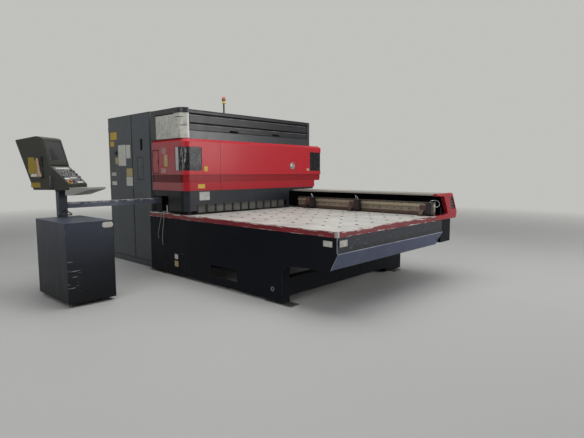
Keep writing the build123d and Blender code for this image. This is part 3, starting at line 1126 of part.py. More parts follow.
# Post of the console, and the flat cable duct from it to the bridge
CONSOLE_LOW = 1282.0
duct_low = DUCT_TOP - DUCT_HIGH
post_far = POST_Y + POST_SIZE / 2
with BuildPart() as console_post:
    with BuildSketch(Plane.XY):
        with Locations((POST_X, POST_Y)):
            RectangleRounded(POST_SIZE, POST_SIZE, 8)
    extrude(amount=CONSOLE_LOW - 14)
    with BuildSketch(Plane.XY):
        with Locations((POST_X, POST_Y)):
            RectangleRounded(POST_SIZE - 12, POST_SIZE - 12, 4)
    extrude(amount=CONSOLE_LOW - 14, mode=Mode.SUBTRACT)
    with Locations((POST_X, POST_Y, 0)):
        Box(240, 240, 10, align=ON_FLOOR)
    with Locations((POST_X, POST_Y, CONSOLE_LOW - 22)):
        Cylinder(70, 21.7, align=ON_FLOOR)
console_post.part.label = "console_post"
export_step(console_post.part, "parts/console_post.step")

with BuildPart() as cable_duct:
    with BuildSketch(Plane.XZ.offset(-post_far)):
        with Locations((DUCT_LEFT, duct_low)):
            Rectangle(DUCT_WIDE, DUCT_HIGH, align=(Align.MIN, Align.MIN))
        with Locations((DUCT_LEFT + 3, duct_low + 3)):
            Rectangle(DUCT_WIDE - 6, DUCT_HIGH - 6, align=(Align.MIN, Align.MIN), mode=Mode.SUBTRACT)
    extrude(amount=-(COLUMN_NEAR - post_far))
    with Locations((DUCT_LEFT - 6, post_far, DUCT_TOP)):
        Box(DUCT_WIDE + 12, COLUMN_NEAR - post_far, 6, align=LOW)
cable_duct.part.label = "cable_duct"
export_step(cable_duct.part, "parts/cable_duct.step")


# Console: turned on its post. Side profile first, in the console's own upright plane
facing = Vector(cos(radians(CONSOLE_TURN)), sin(radians(CONSOLE_TURN)), 0)
across = Vector(-sin(radians(CONSOLE_TURN)), cos(radians(CONSOLE_TURN)), 0)
post_centre = Vector(POST_X, POST_Y, 0)
console_side = Plane(origin=post_centre - across * (CONSOLE_WIDE / 2), x_dir=facing, z_dir=-across)
SCREEN_FOOT = (4.0, 1578.0)
SCREEN_HEAD = (-104.0, 1932.0)
KEYS_FOOT = (252.0, 1352.0)
SHELF_TOP = 1312.0
SHELF_REACH = 520.0
CONSOLE_BACK_LOW = -253.0
CONSOLE_BACK_HIGH = -478.0
with BuildPart() as console_housing:
    with BuildSketch(console_side):
        with BuildLine():
            Polyline(
                (CONSOLE_BACK_LOW, CONSOLE_LOW), (KEYS_FOOT[0] - 60, CONSOLE_LOW),
                (KEYS_FOOT[0], SHELF_TOP), KEYS_FOOT, SCREEN_FOOT, SCREEN_HEAD,
                (SCREEN_HEAD[0] - 70, 1950), (CONSOLE_BACK_HIGH, 1905), close=True)
        make_face()
    extrude(amount=-CONSOLE_WIDE)
    chamfer(console_housing.edges().filter_by(GeomType.LINE).filter_by_position(
        Axis.Z, 1890, 1960).sort_by(Edge.length)[-3:], 8)
console_housing.part.label = "console_housing"
export_step(console_housing.part, "parts/console_housing.step")


def sloped_plane(foot, head, across_shift=0.0, proud=0.0):
    """A plane on one of the console's sloping faces: x across it, y up the slope."""
    low_point = post_centre + facing * foot[0] + Vector(0, 0, foot[1])
    high_point = post_centre + facing * head[0] + Vector(0, 0, head[1])
    up_slope = (high_point - low_point).normalized()
    outward = across.cross(up_slope)
    origin = low_point + across * across_shift + outward * proud
    return Plane(origin=origin, x_dir=across, z_dir=outward)


screen_plane = sloped_plane(SCREEN_FOOT, SCREEN_HEAD)
keys_plane = sloped_plane(KEYS_FOOT, SCREEN_FOOT)
slope_long = (Vector(*SCREEN_HEAD) - Vector(*SCREEN_FOOT)).length
keys_long = (Vector(*KEYS_FOOT) - Vector(*SCREEN_FOOT)).length
BEZEL = 14.0
with BuildPart() as console_screen:
    with BuildSketch(screen_plane):
        with Locations((0, slope_long / 2)):
            RectangleRounded(CONSOLE_WIDE - 24, slope_long - 24, 10)
    extrude(amount=BEZEL)
    chamfer(console_screen.faces().filter_by(GeomType.PLANE).sort_by(Axis((0, 0, 0), screen_plane.z_dir))[-1]
            .edges(), 5)
    with BuildSketch(screen_plane.offset(BEZEL)):
        with Locations((0, slope_long / 2 + 14)):
            RectangleRounded(CONSOLE_WIDE - 84, slope_long - 112, 8)
    extrude(amount=-6, mode=Mode.SUBTRACT)
console_screen.part.label = "console_screen"
export_step(console_screen.part, "parts/console_screen.step")

# Key panel: a raised plate with rows of sealed keys
KEY = 17.0
KEY_PITCH = 24.0
KEY_ROWS, KEY_COLUMNS = 5, 9
STOP_ACROSS, STOP_UP, STOP_NECK = -118.0, 42.0, 11.0
with BuildPart() as console_keys:
    with BuildSketch(keys_plane):
        with Locations((0, keys_long / 2)):
            RectangleRounded(CONSOLE_WIDE - 20, keys_long - 24, 8)
    extrude(amount=6)
    with BuildSketch(keys_plane.offset(6)):
        with Locations((-34, keys_long / 2 + 32)):
            with GridLocations(KEY_PITCH, KEY_PITCH, KEY_COLUMNS, KEY_ROWS):
                Rectangle(KEY, KEY)
    extrude(amount=4)
    with BuildSketch(keys_plane):
        with Locations((STOP_ACROSS, STOP_UP)):
            Circle(STOP_NECK + 1)
    extrude(amount=6, mode=Mode.SUBTRACT)
console_keys.part.label = "console_keys"
export_step(console_keys.part, "parts/console_keys.step")

# Stop button and override dial, in the row nearest the operator
DIAL_ACROSS, DIAL_UP = -52.0, 42.0
STOP_TRAVEL = 4.0
with BuildPart() as stop_button:
    with BuildSketch(keys_plane.offset(STOP_TRAVEL + RUNNING_GAP)):
        with Locations((STOP_ACROSS, STOP_UP)):
            Circle(STOP_NECK)
    extrude(amount=16 - STOP_TRAVEL - RUNNING_GAP)
    with BuildSketch(keys_plane.offset(16)):
        with Locations((STOP_ACROSS, STOP_UP)):
            Circle(20)
    extrude(amount=12)
    fillet(stop_button.edges().filter_by(GeomType.CIRCLE).sort_by(Axis((0, 0, 0), keys_plane.z_dir))[-1], 5)
stop_button.part.label = "stop_button"
export_step(stop_button.part, "parts/stop_button.step")

with BuildPart() as override_dial:
    with BuildSketch(keys_plane.offset(6 + RUNNING_GAP)):
        with Locations((DIAL_ACROSS, DIAL_UP)):
            Circle(16)
    extrude(amount=8)
    with BuildSketch(keys_plane.offset(14)):
        with Locations((DIAL_ACROSS, DIAL_UP)):
            SlotOverall(30, 9, rotation=60)
    extrude(amount=10)
override_dial.part.label = "override_dial"
export_step(override_dial.part, "parts/override_dial.step")

# Desk shelf in front of the keys: a pale top on a dark wedge bracket
with BuildPart() as console_shelf:
    with BuildSketch(Plane(origin=console_side.origin, x_dir=facing, z_dir=-across)):
        with BuildLine():
            Polyline(
                (KEYS_FOOT[0] + RUNNING_GAP, SHELF_TOP), (SHELF_REACH, SHELF_TOP),
                (SHELF_REACH, SHELF_TOP - 24), (KEYS_FOOT[0] + 40, 1215),
                (KEYS_FOOT[0] - 58, 1215), (KEYS_FOOT[0] - 58, CONSOLE_LOW - RUNNING_GAP),
                (KEYS_FOOT[0] + RUNNING_GAP, SHELF_TOP - 30), close=True)
        make_face()
    extrude(amount=-CONSOLE_WIDE)
console_shelf.part.label = "console_shelf"
export_step(console_shelf.part, "parts/console_shelf.step")


# Power cabinets: two steel carcasses beside the bridge, each with a door in front
DOOR_THICK = 18.0
carcass_face = POWER_FACE + DOOR_THICK + RUNNING_GAP
PLATE_FACE = -640.0
DRIVE_PITCH = 132.0
DRIVE_ROWS = ((620.0, 330.0, 170.0), (1180.0, 120.0, 80.0), (1520.0, 380.0, 190.0))
hinge_heights = (POWER_LOW + 200, 1260.0, POWER_HIGH - 200)
power_left_hinges = [Location((POWER_LEFT + 4, POWER_FACE, z)) for z in hinge_heights]
power_right_hinges = [Location((POWER_SEAM + 10, POWER_FACE, z)) for z in hinge_heights]
with BuildPart() as power_cabinets:
    for left, right in ((POWER_LEFT, POWER_SEAM), (POWER_SEAM + 6, POWER_RIGHT)):
        with Locations((left, carcass_face, 0)):
            Box(right - left, POWER_BACK - carcass_face, POWER_HIGH, align=LOW)
        with Locations((left + 20, carcass_face, POWER_LOW + 40)):
            Box(right - left - 40, 20, POWER_HIGH - POWER_LOW - 80, align=LOW, mode=Mode.SUBTRACT)
        with Locations((left + POWER_SHEET, carcass_face + 20, POWER_LOW + 20)):
            Box(right - left - 2 * POWER_SHEET, POWER_BACK - carcass_face - 20 - POWER_SHEET,
                POWER_HIGH - POWER_LOW - 20 - POWER_SHEET, align=LOW, mode=Mode.SUBTRACT)
        # Mounting plate with drives in two rows and a row of breakers between
        with Locations((left + 60, PLATE_FACE, POWER_LOW + 160)):
            Box(right - left - 120, POWER_BACK - POWER_SHEET - PLATE_FACE, POWER_HIGH - POWER_LOW - 320, align=LOW)
        drives = int((right - left - 180) // DRIVE_PITCH)
        for low, high, deep in DRIVE_ROWS:
            for column in range(drives):
                with Locations((left + 90 + column * DRIVE_PITCH, PLATE_FACE - deep, low)):
                    Box(DRIVE_PITCH - 22, deep, high, align=LOW)
    frame_knuckles(power_left_hinges + power_right_hinges, (-4.0, -2.0, -RUNNING_GAP, DOOR_THICK + 4))
power_cabinets.part.label = "power_cabinets"
export_step(power_cabinets.part, "parts/power_cabinets.step")

POWER_DOOR_LOW = 1228.0
ISOLATOR_X, ISOLATOR_Z = -1676.0, 1829.0
with BuildPart() as power_door_left:
    with Locations((POWER_LEFT + 4, POWER_FACE, POWER_LOW)):
        Box(POWER_SEAM - POWER_LEFT - 8, DOOR_THICK, POWER_HIGH - POWER_LOW - 6, align=LOW)
    chamfer(power_door_left.faces().sort_by(Axis.Y)[0].edges(), 2)
    door_knuckles(power_left_hinges)
power_door_left.part.label = "power_door_left"
export_step(power_door_left.part, "parts/power_door_left.step")

with BuildPart() as isolator_handle:
    with BuildSketch(Plane.XZ.offset(-POWER_FACE + RUNNING_GAP)):
        with Locations((ISOLATOR_X, ISOLATOR_Z)):
            Circle(40)
    extrude(amount=12)
    with BuildSketch(Plane.XZ.offset(-POWER_FACE + 12)):
        with Locations((ISOLATOR_X, ISOLATOR_Z)):
            SlotOverall(104, 26)
    extrude(amount=26)
isolator_handle.part.label = "isolator_handle"
export_step(isolator_handle.part, "parts/isolator_handle.step")

FLAP_LEFT, FLAP_RIGHT = -970.0, -777.0
FLAP_LOW, FLAP_HIGH = 1381.0, 1744.0
LATCH_X, LATCH_LOW, LATCH_HIGH = -816.0, 1897.0, 2005.0
with BuildPart() as power_door_right:
    with Locations((POWER_SEAM + 10, POWER_FACE, POWER_LOW)):
        Box(POWER_RIGHT - POWER_SEAM - 14, DOOR_THICK, POWER_HIGH - POWER_LOW - 6, align=LOW)
    with Locations((FLAP_LEFT, POWER_FACE, FLAP_LOW)):
        Box(FLAP_RIGHT - FLAP_LEFT, 6, FLAP_HIGH - FLAP_LOW, align=LOW, mode=Mode.SUBTRACT)
    with Locations((LATCH_X - 15, POWER_FACE, LATCH_LOW)):
        Box(30, 10, LATCH_HIGH - LATCH_LOW, align=LOW, mode=Mode.SUBTRACT)
    door_knuckles(power_right_hinges)
power_door_right.part.label = "power_door_right"
export_step(power_door_right.part, "parts/power_door_right.step")

with BuildPart() as service_flap:
    with Locations((FLAP_LEFT + 3, POWER_FACE + 1, FLAP_LOW + 3)):
        Box(FLAP_RIGHT - FLAP_LEFT - 6, 4.6, FLAP_HIGH - FLAP_LOW - 6, align=LOW)
    with Locations((-856, POWER_FACE + 1, 1585)):
        Box(26, 7, 60, align=(Align.CENTER, Align.MAX, Align.CENTER))
service_flap.part.label = "service_flap"
export_step(service_flap.part, "parts/service_flap.step")


# Two grey cables that hang down the side panel from the niche, and the station's cable
CABLE = 9.0
BASE_CABLE_ROUTES = (
    ((-78, -970, 914), (-78, -1060, 914), (-77, -1110, 930), (-74, -1146, 926), (-70, -1165, 896),
     (-74, -1166, 830), (-84, -1166, 760), (-98, -1168, 690), (-112, -1169, 620), (-122, -1169, 550),
     (-127, -1168, 490), (-128, -1162, 430), (-128, -1146, 430)),
    ((-120, -970, 914), (-120, -1060, 914), (-121, -1110, 930), (-124, -1146, 926), (-130, -1165, 896),
     (-146, -1166, 838), (-170, -1167, 774), (-196, -1169, 708), (-220, -1169, 640), (-238, -1167, 580),
     (-246, -1162, 520), (-246, -1146, 520)),
)
for index, route in enumerate(BASE_CABLE_ROUTES, start=1):
    with BuildPart() as base_cable:
        with BuildLine() as cable_line:
            tube_path(route)
        with BuildSketch(Plane(cable_line.line @ 0, z_dir=cable_line.line % 0)):
            Circle(CABLE / 2)
        sweep(path=cable_line.line)
    base_cable.part.label = f"base_cable_{index}"
    export_step(base_cable.part, f"parts/base_cable_{index}.step")

STATION_CABLE = 16.0
STATION_ROUTE = (
    (-277.5, -2470, 1012), (-240, -2470, 1012), (-186, -2452, 992), (-130, -2448, 978),
    (-72, -2466, 972), (-34, -2510, 974), (-40, -2562, 982), (-78, -2590, 984), (-128, -2600, 978),
    (-128, -2600, 945),
)
with BuildPart() as station_cable:
    with BuildLine() as station_line:
        tube_path(STATION_ROUTE)
    with BuildSketch(Plane(station_line.line @ 0, z_dir=station_line.line % 0)):
        Circle(STATION_CABLE / 2)
    sweep(path=station_line.line)
station_cable.part.label = "station_cable"
export_step(station_cable.part, "parts/station_cable.step")
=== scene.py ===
import bpy
import bmesh
from math import cos, pi, radians, sin
from mathutils import Matrix, Vector


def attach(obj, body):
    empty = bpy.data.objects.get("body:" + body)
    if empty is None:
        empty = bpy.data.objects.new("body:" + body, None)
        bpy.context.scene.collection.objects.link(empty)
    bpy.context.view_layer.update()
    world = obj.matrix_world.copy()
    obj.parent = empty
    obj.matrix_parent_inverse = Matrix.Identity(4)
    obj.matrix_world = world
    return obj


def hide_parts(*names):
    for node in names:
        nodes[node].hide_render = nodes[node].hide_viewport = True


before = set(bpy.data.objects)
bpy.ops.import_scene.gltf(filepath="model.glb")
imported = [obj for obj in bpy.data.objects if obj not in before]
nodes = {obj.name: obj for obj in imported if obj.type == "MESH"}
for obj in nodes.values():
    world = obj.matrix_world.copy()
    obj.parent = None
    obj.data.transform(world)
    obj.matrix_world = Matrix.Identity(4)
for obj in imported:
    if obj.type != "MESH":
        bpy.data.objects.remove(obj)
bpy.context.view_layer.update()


# Viewpoint, floor and light. The machine stands on a pale, smooth floor that runs up into a
# pale backdrop colour. Broad lamps from the shop's left, right and top light it softly, so
# that dark sheet metal still shows its folds.
def srgb(code):
    """An sRGB hex colour as the linear colour that a shader takes."""
    parts = [int(code[i:i + 2], 16) / 255 for i in (0, 2, 4)]
    return tuple(c / 12.92 if c <= 0.04045 else ((c + 0.055) / 1.055) ** 2.4 for c in parts) + (1.0,)


def fill(node, inputs):
    """Sets a node's inputs, each to a value, a hex colour, a socket, or a node's first output."""
    for key, value in dict(inputs).items():
        socket = node.inputs[key]
        if isinstance(value, bpy.types.Node):
            value = next(output for output in value.outputs if output.enabled)
        if isinstance(value, bpy.types.NodeSocket):
            node.id_data.links.new(value, socket)
        else:
            socket.default_value = srgb(value) if socket.type == "RGBA" else value


def add(tree, kind, inputs=(), **settings):
    """Adds a node to tree, with its settings and inputs. A short kind is one of the shader nodes."""
    made = tree.nodes.new(kind if "Node" in kind else "ShaderNode" + kind)
    for name, value in settings.items():
        setattr(made, name, value)
    fill(made, inputs)
    return made


def placed(name, data):
    """A new object of data in the scene."""
    made = bpy.data.objects.new(name, data)
    bpy.context.scene.collection.objects.link(made)
    return made


sight = bpy.data.cameras.new("visitor_view")
sight.lens = 28.123
sight.sensor_width = 36.0
sight.clip_end = 100.0
viewer = placed("visitor_view", sight)
yaw, pitch, roll = radians(132.9625), radians(-5.8359), radians(-0.1032)
ahead = Vector((cos(pitch) * cos(yaw), cos(pitch) * sin(yaw), sin(pitch)))
level = ahead.cross(Vector((0, 0, 1))).normalized()
upright = level.cross(ahead)
right = level * cos(roll) + upright * sin(roll)
up = upright * cos(roll) - level * sin(roll)
turned = Matrix((right, up, -ahead)).transposed().to_4x4()
viewer.matrix_world = Matrix.Translation((5.8455, -4.7607, 1.4959)) @ turned
bpy.context.scene.camera = viewer
bpy.context.scene.view_settings.view_transform = "Standard"


def seen_straight(tree):
    """1 on rays from the camera, through glass and off metal, and 0 on those that carry light."""
    rays = add(tree, "LightPath").outputs
    seen = add(tree, "Math", {0: rays["Is Camera Ray"], 1: rays["Is Transmission Ray"]}, operation="MAXIMUM")
    return add(tree, "Math", {0: seen, 1: rays["Is Glossy Ray"]}, operation="MAXIMUM")


floor_paint = bpy.data.materials.new("pale_floor_paint")
floor_paint.use_nodes = True
tree = floor_paint.node_tree
floor_shader = tree.nodes["Principled BSDF"]
fill(floor_shader, {"Base Color": "b3b3b0", "Roughness": 0.6})
# From 6.5 m to 15 m off the floor fades into the backdrop's colour
reach = add(tree, "VectorMath", {0: add(tree, "NewGeometry").outputs["Position"]}, operation="LENGTH")
far_off = add(tree, "MapRange", {0: reach, 1: 6.5, 2: 15.0})
haze = add(tree, "Math", {0: seen_straight(tree), 1: far_off}, operation="MULTIPLY")
glow = add(tree, "Emission", {"Color": "cfcfcb", "Strength": 0.85})
fill(tree.nodes["Material Output"], {"Surface": add(tree, "MixShader", {0: haze, 1: floor_shader, 2: glow})})
floor_mesh = bpy.data.meshes.new("shop_floor")
floor_mesh.from_pydata([(-40, -40, 0), (40, -40, 0), (40, 40, 0), (-40, 40, 0)], [], [(0, 1, 2, 3)])
floor_mesh.materials.append(floor_paint)
placed("shop_floor", floor_mesh)

air = bpy.data.worlds.new("pale_air")
bpy.context.scene.world = air
air.use_nodes = True
sky = air.node_tree
seen = seen_straight(sky)
fill(sky.nodes["Background"], {
    "Color": add(sky, "Mix", {0: seen, 6: "9aa0a6", 7: "cfcfcb"}, data_type="RGBA"),
    "Strength": add(sky, "Mix", {0: seen, 2: 0.5, 3: 0.85})})

for name, spot, aim, size, watts in (
        ("window_bank", (3.5, -8.0, 4.6), (0.6, -0.8, 1.0), 5.0, 170),
        ("roof_lights", (1.5, -0.5, 7.0), (1.0, 0.0, 0.8), 6.0, 370),
        ("door_light", (9.5, 4.8, 3.4), (1.0, 0.0, 1.2), 3.8, 330),
        ("far_light", (-6.5, 5.5, 4.5), (-0.5, 0.5, 1.2), 4.5, 170)):
    lamp = bpy.data.lights.new(name, "AREA")
    lamp.size = size
    lamp.energy = watts
    holder = placed(name, lamp)
    holder.location = spot
    holder.rotation_euler = (Vector(aim) - Vector(spot)).to_track_quat("-Z", "Y").to_euler()


# Welded base, legs, side panel and aprons. Folded and welded steel sheet with a fine
# textured powder coat in blue-black. Edges are rubbed bright where hands and sheets pass,
# and their pale line is also a painted highlight; dust lies on what faces up.
def new_finish(name):
    """A new material, with its tree, its shader and its Object coordinates."""
    finish = bpy.data.materials.new(name)
    finish.use_nodes = True
    tree = finish.node_tree
    return finish, tree, tree.nodes["Principled BSDF"], add(tree, "TexCoord").outputs["Object"]


def powder_coat(name, paint, dust="8b8a86", rough=0.5, grain=5.0, rub=0.35, cloud=0.16, coat=0.0, shine=0.35):
    """Textured paint on sheet steel. grain is the size of the texture's lumps in millimetres."""
    finish, tree, shader, place = new_finish(name)
    patches = add(tree, "TexNoise", {"Vector": place, "Scale": 2.3, "Detail": 6.0, "Roughness": 0.62})
    tall = add(tree, "Mapping", {"Vector": place, "Scale": (8.0, 8.0, 2.2)})
    streaks = add(tree, "TexNoise", {"Vector": tall, "Scale": 1.0, "Detail": 5.0})
    # The coat's lumps are about 1 mm in life, drawn coarser so that they show
    lumps = add(tree, "TexNoise", {"Vector": place, "Scale": 1000.0 / grain, "Detail": 2.0})
    soft = add(tree, "Bevel", {"Radius": 0.003}, samples=4)
    # The pale edges are partly worn paint and partly a painted highlight where edges catch the light. Worn
    # edges are 2 to 4 mm wide in life, drawn 7 mm wide so that they show
    round_edge = add(tree, "Bevel", {"Radius": 0.007}, samples=6)
    shape = add(tree, "NewGeometry")
    turn = add(tree, "VectorMath", {0: round_edge, 1: shape.outputs["True Normal"]}, operation="DOT_PRODUCT")
    edge = add(tree, "MapRange", {0: turn, 1: 0.995, 2: 0.8})
    broken = add(tree, "TexNoise", {"Vector": place, "Scale": 55.0, "Detail": 4.0})
    worn = add(tree, "MapRange", {0: broken, 1: 0.42, 2: 0.62, 4: rub})
    bare = add(tree, "Math", {0: edge, 1: worn}, operation="MULTIPLY")
    upward = add(tree, "SeparateXYZ", {0: shape.outputs["True Normal"]})
    flat = add(tree, "MapRange", {0: upward.outputs["Z"], 1: 0.6, 2: 1.0, 4: 0.4})
    dusty = add(tree, "Math", {0: flat, 1: patches}, operation="MULTIPLY")
    tone = add(tree, "MapRange", {0: patches, 1: 0.3, 2: 0.7, 4: cloud})
    faded = add(tree, "Mix", {0: tone, 6: paint, 7: dust}, data_type="RGBA")
    thin = add(tree, "MapRange", {0: streaks, 1: 0.5, 2: 0.85, 4: cloud * 0.4})
    wiped = add(tree, "Mix", {0: thin, 6: faded, 7: dust}, data_type="RGBA")
    settled = add(tree, "Mix", {0: dusty, 6: wiped, 7: dust}, data_type="RGBA")
    rubbed = add(tree, "Mix", {0: bare, 6: settled, 7: "a9a7a2"}, data_type="RGBA")
    gloss = add(tree, "MapRange", {0: streaks, 1: 0.3, 2: 0.7, 3: rough - 0.03, 4: rough + 0.05})
    relief = add(tree, "Bump", {"Height": lumps, "Strength": 0.25, "Distance": 0.0006, "Normal": soft})
    fill(shader, {"Base Color": rubbed, "Roughness": gloss, "Normal": relief, "Coat Weight": coat,
                  "Coat Roughness": 0.15, "Specular IOR Level": shine})
    return finish


def laid_over(finish, tint, *shares):
    """Lays a tint over a finish's own colour, by the product of the shares."""
    tree = finish.node_tree
    share = shares[0]
    for more in shares[1:]:
        share = add(tree, "Math", {0: share, 1: more}, operation="MULTIPLY")
    colour = tree.nodes["Principled BSDF"].inputs["Base Color"]
    mixed = add(tree, "Mix", {0: share, 6: colour.links[0].from_socket, 7: tint}, data_type="RGBA")
    tree.links.new(mixed.outputs[2], colour)


def band_over(finish, axis, middle, half_wide, tint, share):
    """Lays a tint over a finish, by a share, no further than half_wide from middle along an axis."""
    tree = finish.node_tree
    along = add(tree, "SeparateXYZ", {0: add(tree, "TexCoord").outputs["Object"]}).outputs[axis]
    inside = add(tree, "Math", {0: along, 1: middle, 2: half_wide}, operation="COMPARE")
    laid_over(finish, tint, inside, share)


def finish_nodes(material, *names):
    """Gives CAD nodes their finish."""
    for name in names:
        for place in nodes[name].material_slots:
            place.material = material


base_coat = powder_coat("blue_black_powder_coat", "090b12", dust="262932", rub=0.22, cloud=0.12, shine=0.1)
finish_nodes(base_coat, "base_frame", "side_panel", "service_door")
apron_coat = powder_coat("apron_powder_coat", "434b66", dust="7b8194", rough=0.46, rub=1.0, cloud=0.2,
                         shine=0.4)
tree = apron_coat.node_tree
place = add(tree, "TexCoord").outputs["Object"]
# The upright band over the fold is painted darker than the sloping face, as painted shade, and is scratched
# by sheets and tools. Its lowest strip, just over the fold, is darkest: painted shadow in the recess under
# the band
fold_high = 0.671
band_high = add(tree, "SeparateXYZ", {0: place}).outputs["Z"]
shaded_upright_band = add(tree, "MapRange", {0: band_high, 1: fold_high + 0.003, 2: fold_high + 0.006, 4: 0.92})
laid_over(apron_coat, "11131a", shaded_upright_band)
band_over(apron_coat, "Z", fold_high + 0.027, 0.023, "090a0f", 0.8)
scuffed_way = add(tree, "Mapping", {"Vector": place, "Rotation": (0.35, 0, 0), "Scale": (20.0, 16.0, 70.0)})
scuff_lines = add(tree, "TexNoise", {"Vector": scuffed_way, "Scale": 1.0, "Detail": 3.0})
laid_over(apron_coat, "878b96", add(tree, "MapRange", {0: scuff_lines, 1: 0.6, 2: 0.72, 4: 0.3}))
# The fold's own edge and the upright edge at the near corner carry a broken, pale line: a painted highlight
# where these edges catch the light
broken = add(tree, "TexNoise", {"Vector": place, "Scale": 7.0, "Detail": 4.0})
fold_highlight_share = add(tree, "MapRange", {0: broken, 1: 0.35, 2: 0.6, 3: 0.35, 4: 0.9})
band_over(apron_coat, "Z", fold_high, 0.0045, "a3a7b2", fold_highlight_share)
band_over(apron_coat, "Y", -1.132, 0.007, "8b90a0", fold_highlight_share)
finish_nodes(apron_coat, "end_apron")


# Levelling feet: turned steel screws on thick plates, zinc plated and dulled by the floor's
# damp. The corner cap is a folded bright steel angle over the end of the stripe.
def bare_metal(name, tint, deep, rough, brush, scale=(4.0, 60.0, 60.0), metal=1.0):
    """Ground or plated steel: fine lines along one way, smudges, and duller patches."""
    finish, tree, shader, place = new_finish(name)
    smudge = add(tree, "TexNoise", {"Vector": place, "Scale": 5.0, "Detail": 7.0, "Roughness": 0.65})
    drawn = add(tree, "Mapping", {"Vector": place, "Scale": scale})
    lines = add(tree, "TexNoise", {"Vector": drawn, "Scale": 6.0, "Detail": 4.0})
    tone = add(tree, "MapRange", {0: smudge, 1: 0.32, 2: 0.72})
    body = add(tree, "Mix", {0: tone, 6: tint, 7: deep}, data_type="RGBA")
    fine = add(tree, "MapRange", {0: lines, 1: 0.35, 2: 0.65, 4: 0.35})
    streaked = add(tree, "Mix", {0: fine, 6: body, 7: deep}, data_type="RGBA")
    shine = add(tree, "MapRange", {0: smudge, 1: 0.3, 2: 0.7, 3: rough - 0.08, 4: rough + 0.14})
    soft = add(tree, "Bevel", {"Radius": 0.0015}, samples=4)
    relief = add(tree, "Bump", {"Height": lines, "Strength": brush, "Distance": 0.0005, "Normal": soft})
    fill(shader, {"Base Color": streaked, "Roughness": shine, "Normal": relief, "Metallic": metal})
    return finish


finish_nodes(bare_metal("dulled_zinc_plate", "a3a49f", "6a6a66", 0.45, 0.1), "levelling_feet")
finish_nodes(bare_metal("bright_folded_steel", "c9c8c3", "8f8d87", 0.32, 0.15), "corner_cap")


# Red stripe round the table's edge. Folded steel angle in red enamel. Sheets dragged over it
# have worn the enamel through to primer and bare steel, most of all along its top.
stripe, tree, shader, place = new_finish("worn_red_enamel")
stripe_middle = 0.868
height = add(tree, "SeparateXYZ", {0: place}).outputs["Z"]
off_middle = add(tree, "Math", {0: height, 1: stripe_middle}, operation="SUBTRACT")
off_middle = add(tree, "Math", {0: off_middle}, operation="ABSOLUTE")
near_top = add(tree, "MapRange", {0: off_middle, 1: 0.012, 2: 0.034, 3: -0.05, 4: 0.12})
long_way = add(tree, "Mapping", {"Vector": place, "Scale": (5.0, 5.0, 60.0)})
chips = add(tree, "TexNoise", {"Vector": long_way, "Scale": 1.0, "Detail": 9.0, "Roughness": 0.7})
wear = add(tree, "Math", {0: chips, 1: near_top}, operation="ADD")
chipped = add(tree, "MapRange", {0: wear, 1: 0.572, 2: 0.600})
pale = add(tree, "MapRange", {0: wear, 1: 0.54, 2: 0.6, 4: 0.35})
fade = add(tree, "TexNoise", {"Vector": place, "Scale": 3.0, "Detail": 4.0})
enamel = add(tree, "Mix", {0: fade, 6: "5c0d16", 7: "8b1825"}, data_type="RGBA")
chalky = add(tree, "Mix", {0: pale, 6: enamel, 7: "b88d8c"}, data_type="RGBA")
bared = add(tree, "Mix", {0: chipped, 6: chalky, 7: "c4c1bb"}, data_type="RGBA")
metal = add(tree, "Math", {0: chipped, 1: 0.7}, operation="MULTIPLY")
sheen = add(tree, "MapRange", {0: wear, 1: 0.3, 2: 0.6, 3: 0.3, 4: 0.5})
dent = add(tree, "Bump", {"Height": chips, "Strength": 0.4, "Distance": 0.0012})
fill(shader, {"Base Color": bared, "Metallic": metal, "Roughness": sheen, "Normal": dent})
finish_nodes(stripe, "edge_strip")


# Blank plates and stickers on the side panel, the apron and the service door. Thin anodised or
# printed aluminium, stuck on and a little soiled.
def printed_plate(name, tint, stain, rough=0.4):
    """A blank plate or sticker: an even tint with soiling toward its stain."""
    finish, tree, shader, place = new_finish(name)
    soil = add(tree, "TexNoise", {"Vector": place, "Scale": 26.0, "Detail": 6.0, "Roughness": 0.7})
    share = add(tree, "MapRange", {0: soil, 1: 0.4, 2: 0.8, 4: 0.7})
    tinted = add(tree, "Mix", {0: share, 6: tint, 7: stain}, data_type="RGBA")
    shine = add(tree, "MapRange", {0: soil, 1: 0.3, 2: 0.7, 3: rough, 4: rough + 0.2})
    fill(shader, {"Base Color": tinted, "Roughness": shine})
    return finish


def keep(name, mesh, material, body):
    """Turns a mesh or a curve into a finished piece that rides on a body."""
    made = placed(name, mesh)
    if material is not None:
        mesh.materials.append(material)
    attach(made, body)
    return made


def as_mesh(shape, name):
    """A mesh of the shape, with its faces pointing outwards."""
    bmesh.ops.recalc_face_normals(shape, faces=shape.faces)
    mesh = bpy.data.meshes.new(name)
    shape.to_mesh(mesh)
    shape.free()
    return mesh


def on_wall(middle, half_u, half_v, out):
    """A plate's middle, half sides and way out. Numbers for the sides are for one that is upright."""
    if isinstance(half_u, float):
        half_u, half_v = Vector((0, 0, 1)).cross(out) * half_u, (0, 0, half_v)
    return Vector(middle), Vector(half_u), Vector(half_v), Vector(out)


